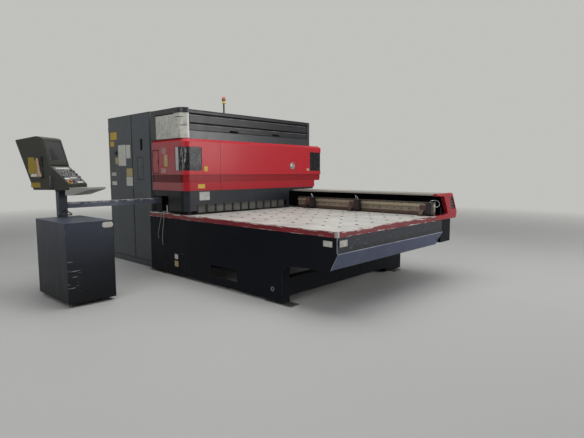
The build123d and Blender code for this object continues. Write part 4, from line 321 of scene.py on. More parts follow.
def thin_plate(name, corners, thick, material, body, round_by=0.006):
    """A flat plate with rounded corners. corners are what on_wall takes."""
    middle, half_u, half_v, out = on_wall(*corners)
    shape = bmesh.new()
    round_by = min(round_by, half_u.length * 0.98, half_v.length * 0.98)
    ring = []
    for sign_u, sign_v, start in ((1, 1, 0), (-1, 1, 1), (-1, -1, 2), (1, -1, 3)):
        for step in range(4):
            turn = (start + step / 3) * pi / 2
            ring.append(middle + half_u * sign_u + half_v * sign_v
                        - half_u.normalized() * sign_u * round_by - half_v.normalized() * sign_v * round_by
                        + (half_u.normalized() * cos(turn) + half_v.normalized() * sin(turn)) * round_by)
    low = [shape.verts.new(spot) for spot in ring]
    inset = min(0.0006, thick / 2)
    high = [shape.verts.new(spot + out * (thick - inset)) for spot in ring]
    top = [shape.verts.new(spot + (middle - spot).normalized() * inset + out * thick) for spot in ring]
    for i in range(len(ring)):
        j = (i + 1) % len(ring)
        shape.faces.new((low[i], low[j], high[j], high[i]))
        shape.faces.new((high[i], high[j], top[j], top[i]))
    shape.faces.new(top)
    shape.faces.new(low[::-1])
    keep(name, as_mesh(shape, name), material, body)


nearward, frontward = Vector((0, -1, 0)), Vector((1, 0, 0))
silver_plate = printed_plate("blank_anodised_plate", "c2c0b8", "7a746a", 0.35)
white_plate = printed_plate("blank_white_sticker", "d2d0c8", "9a948a")
yellow_plate = printed_plate("blank_yellow_sticker", "cfa62c", "8a7433")
sand_plate = printed_plate("blank_aged_sticker", "b9a372", "7d6a49")
for number, (body, middle, half_u, half_v, out, tint) in enumerate((
        ("machine", (2.976, -1.146, 0.769), 0.059, 0.030, nearward, silver_plate),
        ("machine", (3.100, -1.040, 0.774), 0.066, 0.034, frontward, silver_plate),
        ("service_door", (0.205, -1.149, 0.292), 0.040, 0.034, nearward, white_plate),
        ("service_door", (0.205, -1.149, 0.188), 0.045, 0.042, nearward, sand_plate)), start=1):
    # The plate on the apron is let in by 2 mm, so that it stays inside the CAD's box
    place = (middle[0] - 0.002 * out[0], middle[1], middle[2])
    thin_plate("blank_plate_%d" % number, (place, half_u, half_v, out), 0.0016, tint, body)


# Table plates. Cold-rolled steel sheet, bright and grey, dulled by years of sheets: long fine
# scratches along the feed, smudges of oil, and dust along its edges.
table_sheet, tree, shader, place = new_finish("scuffed_rolled_steel")
feed = add(tree, "Mapping", {"Vector": place, "Scale": (1.4, 70.0, 20.0)})
scuffs = add(tree, "TexNoise", {"Vector": feed, "Scale": 1.0, "Detail": 8.0, "Roughness": 0.7})
across = add(tree, "Mapping", {"Vector": place, "Scale": (60.0, 3.0, 20.0), "Rotation": (0, 0, 0.5)})
cross_scuffs = add(tree, "TexNoise", {"Vector": across, "Scale": 1.0, "Detail": 7.0})
oil = add(tree, "TexNoise", {"Vector": place, "Scale": 3.2, "Detail": 8.0, "Roughness": 0.65})
grit = add(tree, "TexNoise", {"Vector": place, "Scale": 160.0, "Detail": 3.0})
oil_share = add(tree, "MapRange", {0: oil, 1: 0.4, 2: 0.68, 4: 0.75})
clean = add(tree, "Mix", {0: oil_share, 6: "c8c6c0", 7: "a3a09a"}, data_type="RGBA")
scuff_share = add(tree, "MapRange", {0: scuffs, 1: 0.56, 2: 0.7, 4: 0.4})
scuffed = add(tree, "Mix", {0: scuff_share, 6: clean, 7: "86827b"}, data_type="RGBA")
grit_share = add(tree, "MapRange", {0: grit, 1: 0.58, 2: 0.75, 4: 0.5})
gritty = add(tree, "Mix", {0: grit_share, 6: scuffed, 7: "7b766e"}, data_type="RGBA")
glaze = add(tree, "MapRange", {0: cross_scuffs, 1: 0.3, 2: 0.7, 3: 0.38, 4: 0.6})
groove = add(tree, "Bump", {"Height": scuffs, "Strength": 0.2, "Distance": 0.0008})
fill(shader, {"Base Color": gritty, "Roughness": glaze, "Metallic": 0.35, "Normal": groove})
finish_nodes(table_sheet, "table_top")
finish_nodes(bare_metal("outfeed_rolled_steel", "b5b3ad", "85817a", 0.42, 0.15, metal=0.5), "outfeed_table")


# Ball units, pressed into holes of the plates: a black nylon cup with a steel ball that stands
# just proud of it. The same tree also sets screw heads and other small parts in place.
def turned_part(name, profile, sides):
    """A mesh turned round Z from (radius, height) points, closed where the radius is 0."""
    shape = bmesh.new()
    rings = []
    for radius, height in profile:
        if radius == 0:
            rings.append([shape.verts.new((0, 0, height))])
        else:
            rings.append([shape.verts.new((radius * cos(turn), radius * sin(turn), height))
                          for turn in (2 * pi * i / sides for i in range(sides))])
    for inner, outer in zip(rings, rings[1:]):
        for i in range(sides):
            j = (i + 1) % sides
            if len(inner) == 1 and len(outer) > 1:
                shape.faces.new((inner[0], outer[i], outer[j]))
            elif len(outer) == 1 and len(inner) > 1:
                shape.faces.new((inner[i], outer[0], inner[j]))
            elif len(inner) > 1:
                shape.faces.new((inner[i], outer[i], outer[j], inner[j]))
    return as_mesh(shape, name)


def setting_tree():
    """A tree that sets one small part on every point, along the point's own way out."""
    tree = bpy.data.node_groups.new("set_small_parts", "GeometryNodeTree")
    for name, kind in (("Geometry", "Geometry"), ("Part", "Object"), ("Finish", "Material"),
                       ("Loose Turn", "Float"), ("Seed", "Int")):
        tree.interface.new_socket(name, in_out="INPUT", socket_type="NodeSocket" + kind)
    tree.interface.new_socket("Geometry", in_out="OUTPUT", socket_type="NodeSocketGeometry")
    given = add(tree, "NodeGroupInput").outputs
    way = add(tree, "GeometryNodeInputNamedAttribute", {"Name": "way_out"}, data_type="FLOAT_VECTOR")
    lean = add(tree, "FunctionNodeAlignRotationToVector", {"Vector": way}, axis="Z", pivot_axis="AUTO")
    loose = add(tree, "FunctionNodeRandomValue", {"Seed": given["Seed"]}, data_type="FLOAT")
    angle = add(tree, "Math", {0: loose, 1: given["Loose Turn"]}, operation="MULTIPLY")
    spin = add(tree, "FunctionNodeAxisAngleToRotation", {"Axis": (0.0, 0.0, 1.0), "Angle": angle})
    aimed = add(tree, "FunctionNodeRotateRotation", {0: lean, 1: spin}, rotation_space="LOCAL")
    part = add(tree, "GeometryNodeObjectInfo", {"Object": given["Part"]})
    spread = add(tree, "GeometryNodeInstanceOnPoints", {
        "Points": given["Geometry"], "Instance": part.outputs["Geometry"], "Rotation": aimed})
    real = add(tree, "GeometryNodeRealizeInstances", {0: spread})
    painted = add(tree, "GeometryNodeSetMaterial", {"Geometry": real, "Material": given["Finish"]})
    add(tree, "NodeGroupOutput", {0: painted})
    return tree


small_parts = setting_tree()


def set_parts(name, part_mesh, spots, material, body, loose=0.0, seed=1):
    """Sets part_mesh on every (place, way out) and keeps the result as one plain piece."""
    cloud = bpy.data.meshes.new(name + "_spots")
    cloud.from_pydata([tuple(spot) for spot, _ in spots], [], [])
    ways = cloud.attributes.new("way_out", "FLOAT_VECTOR", "POINT")
    for i, (_, way) in enumerate(spots):
        ways.data[i].vector = way
    holder = placed(name + "_spots", cloud)
    part = bpy.data.objects.new(name + "_part", part_mesh)
    rule = holder.modifiers.new("set_parts", "NODES")
    rule.node_group = small_parts
    wanted = {"Part": part, "Finish": material, "Loose Turn": loose, "Seed": seed}
    for socket in small_parts.interface.items_tree:
        if socket.in_out == "INPUT" and socket.name in wanted:
            rule[socket.identifier] = wanted[socket.name]
    view = bpy.context.evaluated_depsgraph_get()
    mesh = bpy.data.meshes.new_from_object(holder.evaluated_get(view))
    mesh.name = name
    bpy.data.objects.remove(holder)
    bpy.data.objects.remove(part)
    return keep(name, mesh, None, body)


def plain_plastic(name, tint, rough=0.45, mottle=0.12, coat=0.0, shine=0.5):
    """Moulded plastic or rubber: an even body colour, a faint mottle and a fine spark-eroded skin."""
    finish, tree, shader, place = new_finish(name)
    patch = add(tree, "TexNoise", {"Vector": place, "Scale": 22.0, "Detail": 5.0})
    share = add(tree, "MapRange", {0: patch, 1: 0.35, 2: 0.75, 4: mottle})
    tinted = add(tree, "Mix", {0: share, 6: tint, 7: "8d8a84"}, data_type="RGBA")
    skin = add(tree, "TexNoise", {"Vector": place, "Scale": 500.0, "Detail": 1.0})
    relief = add(tree, "Bump", {"Height": skin, "Strength": 0.15, "Distance": 0.0003})
    gloss = add(tree, "MapRange", {0: patch, 1: 0.3, 2: 0.7, 3: rough, 4: rough + 0.12})
    fill(shader, {"Base Color": tinted, "Normal": relief, "Roughness": gloss, "Coat Weight": coat,
                  "Specular IOR Level": shine})
    return finish


upward = (0, 0, 1)
table_high = 0.900
set_parts("plug_washer", turned_part("plug_washer_ring", (
    (0.0160, -0.0010), (0.0160, 0.0012), (0.0170, 0.0020), (0.0255, 0.0020), (0.0265, 0.0010),
    (0.0265, -0.0010), (0.0160, -0.0010)), 28), [((2.174, -1.150, 0.160), nearward)],
    bare_metal("scuffed_zinc_washer", "a9aab0", "55565c", 0.4, 0.1, metal=0.4), "machine")
# The steel balls are tinted near black, so that each ball unit reads as a dark dot
ball_steel = bare_metal("dark_tinted_bearing_ball", "2e2d2c", "191918", 0.35, 0.0)
screw_steel = bare_metal("blackened_screw_steel", "5a5954", "34332f", 0.42, 0.1)
ball_spots = [((1.812 + 0.231 * (column - 4.5), 0.027 + 0.325 * (row - 2.5), table_high), upward)
              for column in range(10) for row in range(6)]
ball_cups = set_parts("ball_cups", turned_part("ball_cup", (
    (0.0098, -0.0020), (0.0100, 0.0016), (0.0118, 0.0026), (0.0180, 0.0024), (0.0215, 0.0003),
    (0.0215, -0.0020)), 20), ball_spots, plain_plastic("black_nylon", "0d0d0f", 0.6, mottle=0.05),
    "machine")
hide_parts("ball_units")
set_parts("roller_balls", turned_part("roller_ball", (
    (0.0, 0.0039), (0.0034, 0.0034), (0.0063, 0.0021), (0.0084, 0.0004), (0.0096, -0.0016)), 16),
    ball_spots, ball_steel, "machine")
plate_screws = [((x, 0.036 + 0.334 * (row - 2), table_high), upward)
                for x in (1.400, 2.325, 2.795) for row in range(5)]
plate_screws += [((x, y, table_high), upward)
                 for x in (0.60, 1.05, 1.50, 1.95, 2.40, 2.85) for y in (-1.110, 1.020)]
plate_screws += [((x, y, table_high), upward)
                 for x in (-2.60, -2.06, -1.58, -1.10, -0.58) for y in (-0.560, 1.010)]
set_parts("plate_screws", turned_part("plate_screw", (
    (0.0, 0.0002), (0.0026, 0.0002), (0.0032, 0.0008), (0.0062, 0.0012), (0.0078, 0.0006), (0.0080, -0.0010)),
    12), plate_screws, screw_steel, "machine")


# Carriage side: a long steel box beam in the base's blue-black coat, ground rails on it, and a
# pale sheet cover above, held up at its back. At its free end sits the red housing.
finish_nodes(base_coat, "guide_box")
finish_nodes(bare_metal("ground_rail_steel", "b9b9b6", "7d7c78", 0.28, 0.1), "guide_rails")
finish_nodes(powder_coat("way_cover_paint", "908e86", dust="78756c", rub=0.2, cloud=0.6), "way_cover")
finish_nodes(powder_coat("housing_red_enamel", "a01a28", dust="7d4a4c", rough=0.36, rub=0.4, cloud=0.1,
                         coat=0.1, shine=0.25), "end_housing")
finish_nodes(plain_plastic("dark_grille_moulding", "2c2d30", 0.5), "housing_grille")


# Clamp carriage: an aluminium and steel beam, brown with old oil, that pulls the sheet along
# by three air clamps. The clamps are cast iron with bright jaws, one hose loop each.
beam_metal = bare_metal("oiled_beam_aluminium", "a69c8c", "6d6354", 0.42, 0.15, scale=(2.0, 40.0, 40.0),
                        metal=0.6)
# The beam is a stack of bars: dark screwed top, pale ground bar, grey bar, red-brown lower bar. The
# near-black band along its foot is painted shadow
for bar_middle, half_high, share, tint in ((1.074, 0.011, 0.8, "4b4842"), (1.036, 0.022, 0.6, "b5ab92"),
                                           (1.0125, 0.0025, 0.9, "2b2724"), (0.931, 0.021, 0.85, "4a332e"),
                                           (0.899, 0.012, 0.9, "1a1716")):
    band_over(beam_metal, "Z", bar_middle, half_high, tint, share)
finish_nodes(beam_metal, "carriage_beam")
clamp_iron = powder_coat("oily_cast_iron", "4a2b28", dust="6d5a51", rough=0.42, grain=8.0, rub=0.5, cloud=0.3)
# The valve box on each clamp is cast in near-black, beside the brown-red jaw block
for box_middle in (0.926, 1.826, 3.006):
    band_over(clamp_iron, "X", box_middle, 0.046, "1d1f27", 0.85)
finish_nodes(clamp_iron, "clamp_body_1", "clamp_body_2", "clamp_body_3")
finish_nodes(bare_metal("dark_jaw_steel", "6a625c", "3e3834", 0.4, 0.1), "clamp_jaw_1", "clamp_jaw_2",
             "clamp_jaw_3")
beam_bolts = [((0.635 + 0.120 * i, 1.075, high), nearward) for i in range(20) for high in (1.066, 0.985)]
beam_bolts += [((start + aside, 0.992, high), nearward) for start in (0.790, 1.690, 2.870)
               for aside in (0.108, 0.164) for high in (0.940, 1.062)]
set_parts("beam_bolts", turned_part("socket_head", (
    (0.0, 0.0030), (0.0034, 0.0030), (0.0037, 0.0068), (0.0066, 0.0070), (0.0074, 0.0062), (0.0076, -0.0010)),
    14), beam_bolts, bare_metal("black_oxide_screw", "3a3835", "1f1e1c", 0.4, 0.05), "carriage",
    loose=6.28, seed=4)
fitting_spots = [(spot, upward) for spot in (
    (0.840, 1.105, 1.085), (0.928, 1.033, 1.078), (1.738, 1.105, 1.085), (1.830, 1.033, 1.078),
    (2.975, 1.100, 1.085))]
set_parts("hose_fittings", turned_part("push_in_fitting", (
    (0.0046, -0.0010), (0.0046, 0.0092), (0.0056, 0.0100), (0.0068, 0.0092), (0.0068, 0.0050),
    (0.0088, 0.0044), (0.0088, -0.0010), (0.0046, -0.0010)), 12), fitting_spots,
    bare_metal("nickel_plated_fitting", "b6b2a6", "7c776a", 0.3, 0.05), "carriage")
hose_plastic = plain_plastic("cloudy_polyurethane_tube", "d6dfe6", 0.25, mottle=0.05, coat=0.4)
fill(hose_plastic.node_tree.nodes["Principled BSDF"], {"Transmission Weight": 0.25})


# Frame of the bridge: welded steel columns and a cross beam in dull black paint, closed at the
# rear by a panel of grey-painted sheet.
finish_nodes(powder_coat("grey_frame_paint", "6b6e6e", dust="8a8a86", rub=0.25), "cowl_rear")
finish_nodes(powder_coat("black_frame_paint", "0e0f13", dust="3a3c40", rub=0.2, shine=0.15), "bridge_frame")


# Head: a carriage plate on two ground rails of the bridge beam, the lens tube with its taper,
# and a turned copper nozzle over the slot. Anodised aluminium gives it a soft grey sheen.
finish_nodes(bare_metal("anodised_head_aluminium", "b3b3b1", "86868a", 0.34, 0.08), "head_carriage",
             "cutting_head")
finish_nodes(bare_metal("turned_copper", "c07c50", "8a5534", 0.25, 0.1), "nozzle")


# Red cowl of the bridge. Sheet steel in a semi-gloss red enamel, in three lengths with fine
# dark seams. A darker red band runs round it at the height of its recess.
cowl_red = powder_coat("red_cowl_enamel", "b81d2a", dust="a2585c", rough=0.3, grain=7.0, rub=0.25, cloud=0.06,
                       coat=0.12, shine=0.18)
tree = cowl_red.node_tree
place = add(tree, "TexCoord").outputs["Object"]
height = add(tree, "SeparateXYZ", {0: place}).outputs["Z"]
band_middle, band_half = 1.411, 0.0555
in_band = add(tree, "Math", {0: height, 1: band_middle, 2: band_half}, operation="COMPARE")
laid_over(cowl_red, "860b16", in_band, 0.85)
# Under the band the cowl is painted darker, as painted shade
shaded_below_band = add(tree, "Math", {0: height, 1: band_middle - band_half}, operation="LESS_THAN")
laid_over(cowl_red, "7a0d18", shaded_below_band, 0.4)
# The end that faces the room carries a pinkish-grey film, least in the band: partly shop dust settled in the
# enamel, partly painted reflection of the bright room on its gloss
facing_room = add(tree, "SeparateXYZ", {0: add(tree, "NewGeometry").outputs["True Normal"]})
near_end = add(tree, "MapRange", {0: facing_room.outputs["Y"], 1: -0.75, 2: -1.0})
drift = add(tree, "TexNoise", {"Vector": place, "Scale": 4.0, "Detail": 7.0, "Roughness": 0.65})
dust_and_reflection_share = add(tree, "MapRange", {0: drift, 1: 0.3, 2: 0.7, 3: 0.25, 4: 0.65})
off_band = add(tree, "MapRange", {0: in_band, 3: 1.0, 4: 0.05})
laid_over(cowl_red, "8a6f6f", dust_and_reflection_share, off_band, near_end)
# The band on that end is painted darker, as painted shade
laid_over(cowl_red, "2d0408", in_band, near_end, 0.7)
finish_nodes(cowl_red, "cowl_near", "cowl_centre", "cowl_far", "end_door")


# Windows round both of the cowl's front corners: smoked acrylic sheet, bent warm to the corner.
# It reads nearly black, with a smooth gloss that a film of dust and fine specks has dulled.
smoked, tree, shader, place = new_finish("smoked_acrylic")
film = add(tree, "TexNoise", {"Vector": place, "Scale": 9.0, "Detail": 8.0, "Roughness": 0.7})
haze = add(tree, "MapRange", {0: film, 1: 0.35, 2: 0.7, 3: 0.06, 4: 0.3})
specks = add(tree, "TexNoise", {"Vector": place, "Scale": 45.0, "Detail": 6.0, "Roughness": 0.75})
speck_share = add(tree, "MapRange", {0: specks, 1: 0.52, 2: 0.68, 4: 0.5})
dusty_pane = add(tree, "Mix", {0: speck_share, 6: "141419", 7: "84848b"}, data_type="RGBA")
fill(shader, {"Base Color": dusty_pane, "Roughness": haze, "Transmission Weight": 0.15,
              "Specular IOR Level": 0.12, "IOR": 1.49})
# Upright pale streaks on the bend at the near corner are painted reflection of the bright room on the bent
# pane
upright_way = add(tree, "Mapping", {"Vector": place, "Scale": (70.0, 70.0, 7.0)})
reflection_streaks = add(tree, "TexNoise", {"Vector": upright_way, "Scale": 1.0, "Detail": 5.0, "Roughness": 0.7})
painted_reflection_share = add(tree, "MapRange", {0: reflection_streaks, 1: 0.52, 2: 0.6, 4: 0.8})
spot = add(tree, "SeparateXYZ", {0: place})
bend = add(tree, "Math", {0: spot.outputs["X"], 1: 0.425, 2: 0.048}, operation="COMPARE")
near_bend = add(tree, "Math", {0: spot.outputs["Y"], 1: -0.9}, operation="LESS_THAN")
laid_over(smoked, "c9c6c6", painted_reflection_share, bend, near_bend)
finish_nodes(smoked, "windows")


# Small parts on the cowl: a clear anodised strip that holds the near pane, a round pressed badge
# left bare, and stickers left blank. The end's stickers are bleached and half wiped off.
front_face, near_face = 0.4925, -1.178
strip_alloy = bare_metal("clear_anodised_strip", "c9ccce", "9a9c9f", 0.35, 0.05, metal=0.4)
thin_plate("window_frame_strip", ((0.326, -1.1722, 1.687), 0.035, 0.161, nearward), 0.0045,
           strip_alloy, "machine", 0.002)
set_parts("round_badge", turned_part("badge_disc", (
    (0.0, 0.0066), (0.014, 0.0064), (0.028, 0.0054), (0.036, 0.0040), (0.040, 0.0022), (0.044, 0.0022),
    (0.047, 0.0040), (0.054, 0.0040), (0.059, 0.0024), (0.060, -0.0010)), 40),
    [((front_face, 0.997, 1.605), frontward)],
    bare_metal("pressed_badge_metal", "c6c6c4", "5b5a5a", 0.25, 0.2, scale=(30.0, 12.0, 12.0)), "machine")
faded_plate = printed_plate("bleached_sticker", "ab8b87", "7c4a4c", 0.5)
for number, (middle, half_u, half_v, out, tint) in enumerate((
        ((front_face, -0.8085, 1.548), 0.0315, 0.035, frontward, yellow_plate),
        ((front_face, -0.8925, 1.302), 0.0595, 0.030, frontward, yellow_plate),
        ((front_face, 1.4055, 1.545), 0.0335, 0.022, frontward, sand_plate),
        ((-0.0025, near_face, 1.8065), 0.0575, 0.0425, nearward, faded_plate),
        ((0.0445, near_face, 1.666), 0.045, 0.086, nearward, sand_plate),
        ((-0.019, near_face, 1.5235), 0.062, 0.0345, nearward, faded_plate)), start=1):
    thin_plate("cowl_sticker_%d" % number, (middle, half_u, half_v, out), 0.0012, tint, "machine",
               0.004)


# Hood over the laser: black powder-coated sheet with a wide front hatch. The cover on its near
# end is a pale pressed panel, stained by hands and dust.
finish_nodes(powder_coat("black_hood_coat", "22242a", dust="4c4e52", rough=0.3, rub=0.6, cloud=0.1, coat=0.12,
                         shine=0.4), "hood_shell")
hatch_black = powder_coat("black_hatch_coat", "16171c", dust="4c4e52", rough=0.32, rub=0.6, cloud=0.1,
                          shine=0.3)
hatch_face = 0.457
# Two grooves run the hatch's length; each is painted near black, as painted shade, and the edge under each
# carries a pale painted highlight
tree = hatch_black.node_tree
place = add(tree, "TexCoord").outputs["Object"]
patchy = add(tree, "TexNoise", {"Vector": place, "Scale": 6.0, "Detail": 4.0})
groove_highlight_share = add(tree, "MapRange", {0: patchy, 1: 0.35, 2: 0.6, 3: 0.1, 4: 0.5})
for groove_low in (2.170, 2.299):
    band_over(hatch_black, "Z", groove_low + 0.010, 0.013, "040405", 1.0)
    band_over(hatch_black, "Z", groove_low - 0.009, 0.005, "8e8f90", groove_highlight_share)
finish_nodes(hatch_black, "hood_hatch")
# The dark gap round the hatch, and round each door further on, is drawn as a black edging just inside the
# rim: a painted shadow line for the shade in the gap
def edging(name, corners, width, thick, material, body):
    """A flat frame just inside a panel's rim. corners are as for a plate."""
    middle, half_u, half_v, out = on_wall(*corners)
    shape = bmesh.new()
    rings = []
    for inward, lift in ((0.0, 0.0), (0.0, thick), (width, thick), (width, 0.0)):
        u = half_u - half_u.normalized() * inward
        v = half_v - half_v.normalized() * inward
        rings.append([shape.verts.new(middle + u * a + v * b + out * lift) for a, b in
                      ((1, 1), (-1, 1), (-1, -1), (1, -1))])
    for one, two in zip(rings, rings[1:] + rings[:1]):
        for k in range(4):
            j = (k + 1) % 4
            shape.faces.new((one[k], one[j], two[j], two[k]))
    keep(name, as_mesh(shape, name), material, body)


# Black edging for the gaps round doors and for the grooves: painted shade
gap_shadow_black = plain_plastic("black_gap_shadow_edging", "08080a", 0.7, mottle=0.03, shine=0.1)
edging("hatch_edging", ((hatch_face, 0.1855, 2.2215), 1.2355, 0.1405, frontward), 0.006, 0.0008,
       gap_shadow_black, "hood_hatch")
# It starts 17 mm from the hinge, so that it stays clear of the cowl's rim as the door swings
edging("end_door_edging", ((-0.2270, -1.183, 1.6535), 0.0830, 0.1675, nearward), 0.006, 0.0008,
       gap_shadow_black, "end_door")
# A thin black strip laid in each groove is painted shadow there
for number, groove_middle in enumerate((2.180, 2.309), start=1):
    thin_plate("groove_strip_%d" % number, ((hatch_face, 0.1855, groove_middle), 1.2280, 0.0115, frontward),
               0.0009, gap_shadow_black, "hood_hatch", 0.004)
pull_black = plain_plastic("black_pull_cup", "08080a", 0.8, mottle=0.03, shine=0.1)
for number, middle_y in enumerate((-0.2495, 0.6365), start=1):
    thin_plate("hatch_pull_%d" % number, ((hatch_face + 0.0005, middle_y, 2.100), 0.084, 0.018, frontward),
               0.0016, pull_black, "hood_hatch", 0.010)
end_cover_paint = powder_coat("pale_end_cover_paint", "cac8c0", dust="8f8c82", rough=0.3, rub=0.3, cloud=0.6,
                              shine=0.8)
tree = end_cover_paint.node_tree
place = add(tree, "TexCoord").outputs["Object"]
mottled = add(tree, "TexNoise", {"Vector": place, "Scale": 17.0, "Detail": 8.0, "Roughness": 0.7})
laid_over(end_cover_paint, "6f6c64", add(tree, "MapRange", {0: mottled, 1: 0.45, 2: 0.68, 4: 0.6}))
finish_nodes(end_cover_paint, "hood_end_cover")
finish_nodes(powder_coat("source_cream_paint", "c4c0b0", dust="9a968a", rough=0.45), "laser_source")


# Signal tower on the hood: a black foot and stem with three lens rings, orange-red above, then a
# dark and a yellow one, each a moulded polycarbonate cup.
lens_rings, tree, shader, place = new_finish("signal_lens_rings")
height = add(tree, "SeparateXYZ", {0: place}).outputs["Z"]
along = add(tree, "MapRange", {0: height, 1: 2.368, 2: 2.690})
rings = add(tree, "ValToRGB", {0: along})
rings.color_ramp.interpolation = "CONSTANT"
rings.color_ramp.elements[0].color = srgb("1b1c1e")
rings.color_ramp.elements[1].position = 0.722
rings.color_ramp.elements[1].color = srgb("d8c33a")
for stop, tint in ((0.80, "5e2313"), (0.875, "c5502c"), (0.985, "1b1c1e")):
    rings.color_ramp.elements.new(stop).color = srgb(tint)
ribs = add(tree, "TexWave", {"Vector": place, "Scale": 60.0}, bands_direction="Z")
ribbed = add(tree, "Bump", {"Height": ribs, "Strength": 0.3, "Distance": 0.001})
fill(shader, {"Base Color": rings, "Normal": ribbed, "Roughness": 0.22})
finish_nodes(lens_rings, "signal_tower")
# The cups themselves stand out round the rings: each is smooth, with a rounded rim
tower_axis = [((0.0, -0.073, 0.0), upward)]
for name, low, high, tint in (("yellow", 2.589, 2.620, "d6bd33"), ("dark", 2.622, 2.648, "4d1d12"),
                              ("orange", 2.650, 2.682, "d2542a")):
    lens = plain_plastic(name + "_polycarbonate_lens", tint, 0.2, mottle=0.05, coat=0.4)
    set_parts(name + "_lens_cup", turned_part(name + "_lens_cup_shape", (
        (0.0, low), (0.0270, low), (0.0290, low + 0.003), (0.0290, high - 0.003), (0.0270, high),
        (0.0, high)), 36), tower_axis, lens, "machine")
set_parts("tower_pole_sleeve", turned_part("pole_sleeve_shape", (
    (0.0, 2.3762), (0.0115, 2.3762), (0.0125, 2.3770), (0.0125, 2.5870), (0.0, 2.5880)), 24), tower_axis,
    plain_plastic("black_pole_plastic", "121316", 0.4), "machine")


# Skirt under the cowl, in black-grey sheet, and the row of grey rubber strips that hangs from
# it to just over the table.
skirt_coat = powder_coat("skirt_coat", "10131c", dust="4a4d55", rough=0.36, rub=0.5, cloud=0.14, shine=0.3)
tree = skirt_coat.node_tree
# The skirt's face toward the room is painted darker, as painted shade
facing_room = add(tree, "SeparateXYZ", {0: add(tree, "NewGeometry").outputs["True Normal"]})
shaded_room_face = add(tree, "MapRange", {0: facing_room.outputs["Y"], 1: -0.85, 2: -1.0, 4: 0.8})
laid_over(skirt_coat, "050507", shaded_room_face)
finish_nodes(skirt_coat, "skirt")
strip_rubber = powder_coat("dusty_strip_rubber", "3e3d3a", dust="83817b", rough=0.7, rub=0.2, cloud=0.5,
                           shine=0.2)
# Each strip is painted near black close to its edges, as painted shade between the strips, and darker toward
# its top, as painted shade under the skirt
tree = strip_rubber.node_tree
where = add(tree, "SeparateXYZ", {0: add(tree, "TexCoord").outputs["Object"]})
first_edge, strip_pitch = -0.965, 0.16146
along = add(tree, "Math", {0: where.outputs["Y"], 1: -first_edge}, operation="ADD")
count = add(tree, "Math", {0: along, 1: strip_pitch}, operation="DIVIDE")
share_along = add(tree, "Math", {0: count}, operation="FRACT")
off_edge = add(tree, "Math", {0: share_along, 1: 0.5, 2: 0.37}, operation="COMPARE")
laid_over(strip_rubber, "0f0f10", add(tree, "MapRange", {0: off_edge, 3: 0.9, 4: 0.0}))
shade_under_skirt = add(tree, "MapRange", {0: where.outputs["Z"], 1: 0.985, 2: 1.070, 4: 0.75})
laid_over(strip_rubber, "1f1f20", shade_under_skirt)
finish_nodes(strip_rubber, "strip_curtains")
thin_plate("skirt_sticker", ((0.4845, -0.8365, 1.162), 0.088, 0.060, frontward), 0.0012,
           printed_plate("scuffed_white_sticker", "b7b7b2", "6d6d6c", 0.45), "machine", 0.004)


# Sheet stop at the near end of the throat: a small angle folded from white-painted strip, its
# foot screwed to the table plate.
def closed_skin(shape, rings):
    """Walls from each ring of corners to the next, and a lid on both ends."""
    for one, two in zip(rings, rings[1:]):
        for i in range(len(one)):
            j = (i + 1) % len(one)
            shape.faces.new((one[i], one[j], two[j], two[i]))
    shape.faces.new(rings[0])
    shape.faces.new(rings[-1][::-1])


def folded_angle(name, spots, thick, wide_way, material, body):
    """Strip folded along spots, thick through its face and half of wide_way to each side."""
    shape = bmesh.new()
    side = Vector(wide_way) / 2
    spots = [Vector(spot) for spot in spots]
    rings = []
    for i, spot in enumerate(spots):
        way = (spots[min(i + 1, len(spots) - 1)] - spots[max(i - 1, 0)]).normalized()
        across = way.cross(side.normalized()) * thick / 2
        rings.append([shape.verts.new(spot + a + b) for a, b in (
            (across, side), (across, -side), (-across, -side), (-across, side))])
    closed_skin(shape, rings)
    bmesh.ops.bevel(shape, geom=list(shape.edges), offset=0.0005, segments=1, affect="EDGES")
    keep(name, as_mesh(shape, name), material, body)


white_enamel = powder_coat("white_strip_enamel", "cfcfca", dust="8c8a84", rough=0.4, rub=0.4, cloud=0.2)
folded_angle("sheet_stop", ((-0.045, -1.122, 1.020), (-0.045, -1.122, 0.925), (-0.044, -1.121, 0.912),
                            (-0.038, -1.119, 0.9065), (0.0, -1.112, 0.9055)), 0.004, (0.003, 0.016, 0),
             white_enamel, "machine")


# Operator's side: the console's post and housing, the cable duct and the low cabinet. All are folded
# steel sheet, most of it in a black-blue powder coat.
station_coat = powder_coat("station_powder_coat", "171a22", dust="474b53", rough=0.42, rub=0.6, cloud=0.1,
                           shine=0.25)
# It is painted paler upward, as painted light where the light reaches it, and darker toward its foot, as
# painted shade
def lit_top_shaded_foot(finish):
    """Painted light on the upper half and painted shade on the lower half of a low cabinet's coat."""
    tree = finish.node_tree
    high = add(tree, "SeparateXYZ", {0: add(tree, "TexCoord").outputs["Object"]}).outputs["Z"]
    laid_over(finish, "545a6b", add(tree, "MapRange", {0: high, 1: 0.45, 2: 0.95, 4: 0.35}))
    laid_over(finish, "050609", add(tree, "MapRange", {0: high, 1: 0.55, 2: 0.10, 4: 0.8}))


lit_top_shaded_foot(station_coat)
finish_nodes(station_coat, "station_cabinet", "console_post")
duct_coat = powder_coat("scuffed_duct_coat", "4b5160", dust="9a9da6", rough=0.45, rub=1.0, cloud=0.35)
# Its top edge is knocked white by sheets that are lifted over it
tree = duct_coat.node_tree
place = add(tree, "TexCoord").outputs["Object"]
duct_high = add(tree, "SeparateXYZ", {0: place}).outputs["Z"]
duct_top = 1.107
near_top = add(tree, "MapRange", {0: duct_high, 1: duct_top - 0.022, 2: duct_top - 0.006})
knocks = add(tree, "TexNoise", {"Vector": place, "Scale": 14.0, "Detail": 5.0, "Roughness": 0.7})
knock_share = add(tree, "MapRange", {0: knocks, 1: 0.5, 2: 0.58, 4: 0.85})
laid_over(duct_coat, "d0d0cc", near_top, knock_share)
finish_nodes(duct_coat, "cable_duct")
finish_nodes(powder_coat("console_coat", "34352f", dust="5b5c54", rough=0.42, rub=0.6, cloud=0.14, shine=0.3),
             "console_housing", "console_screen")


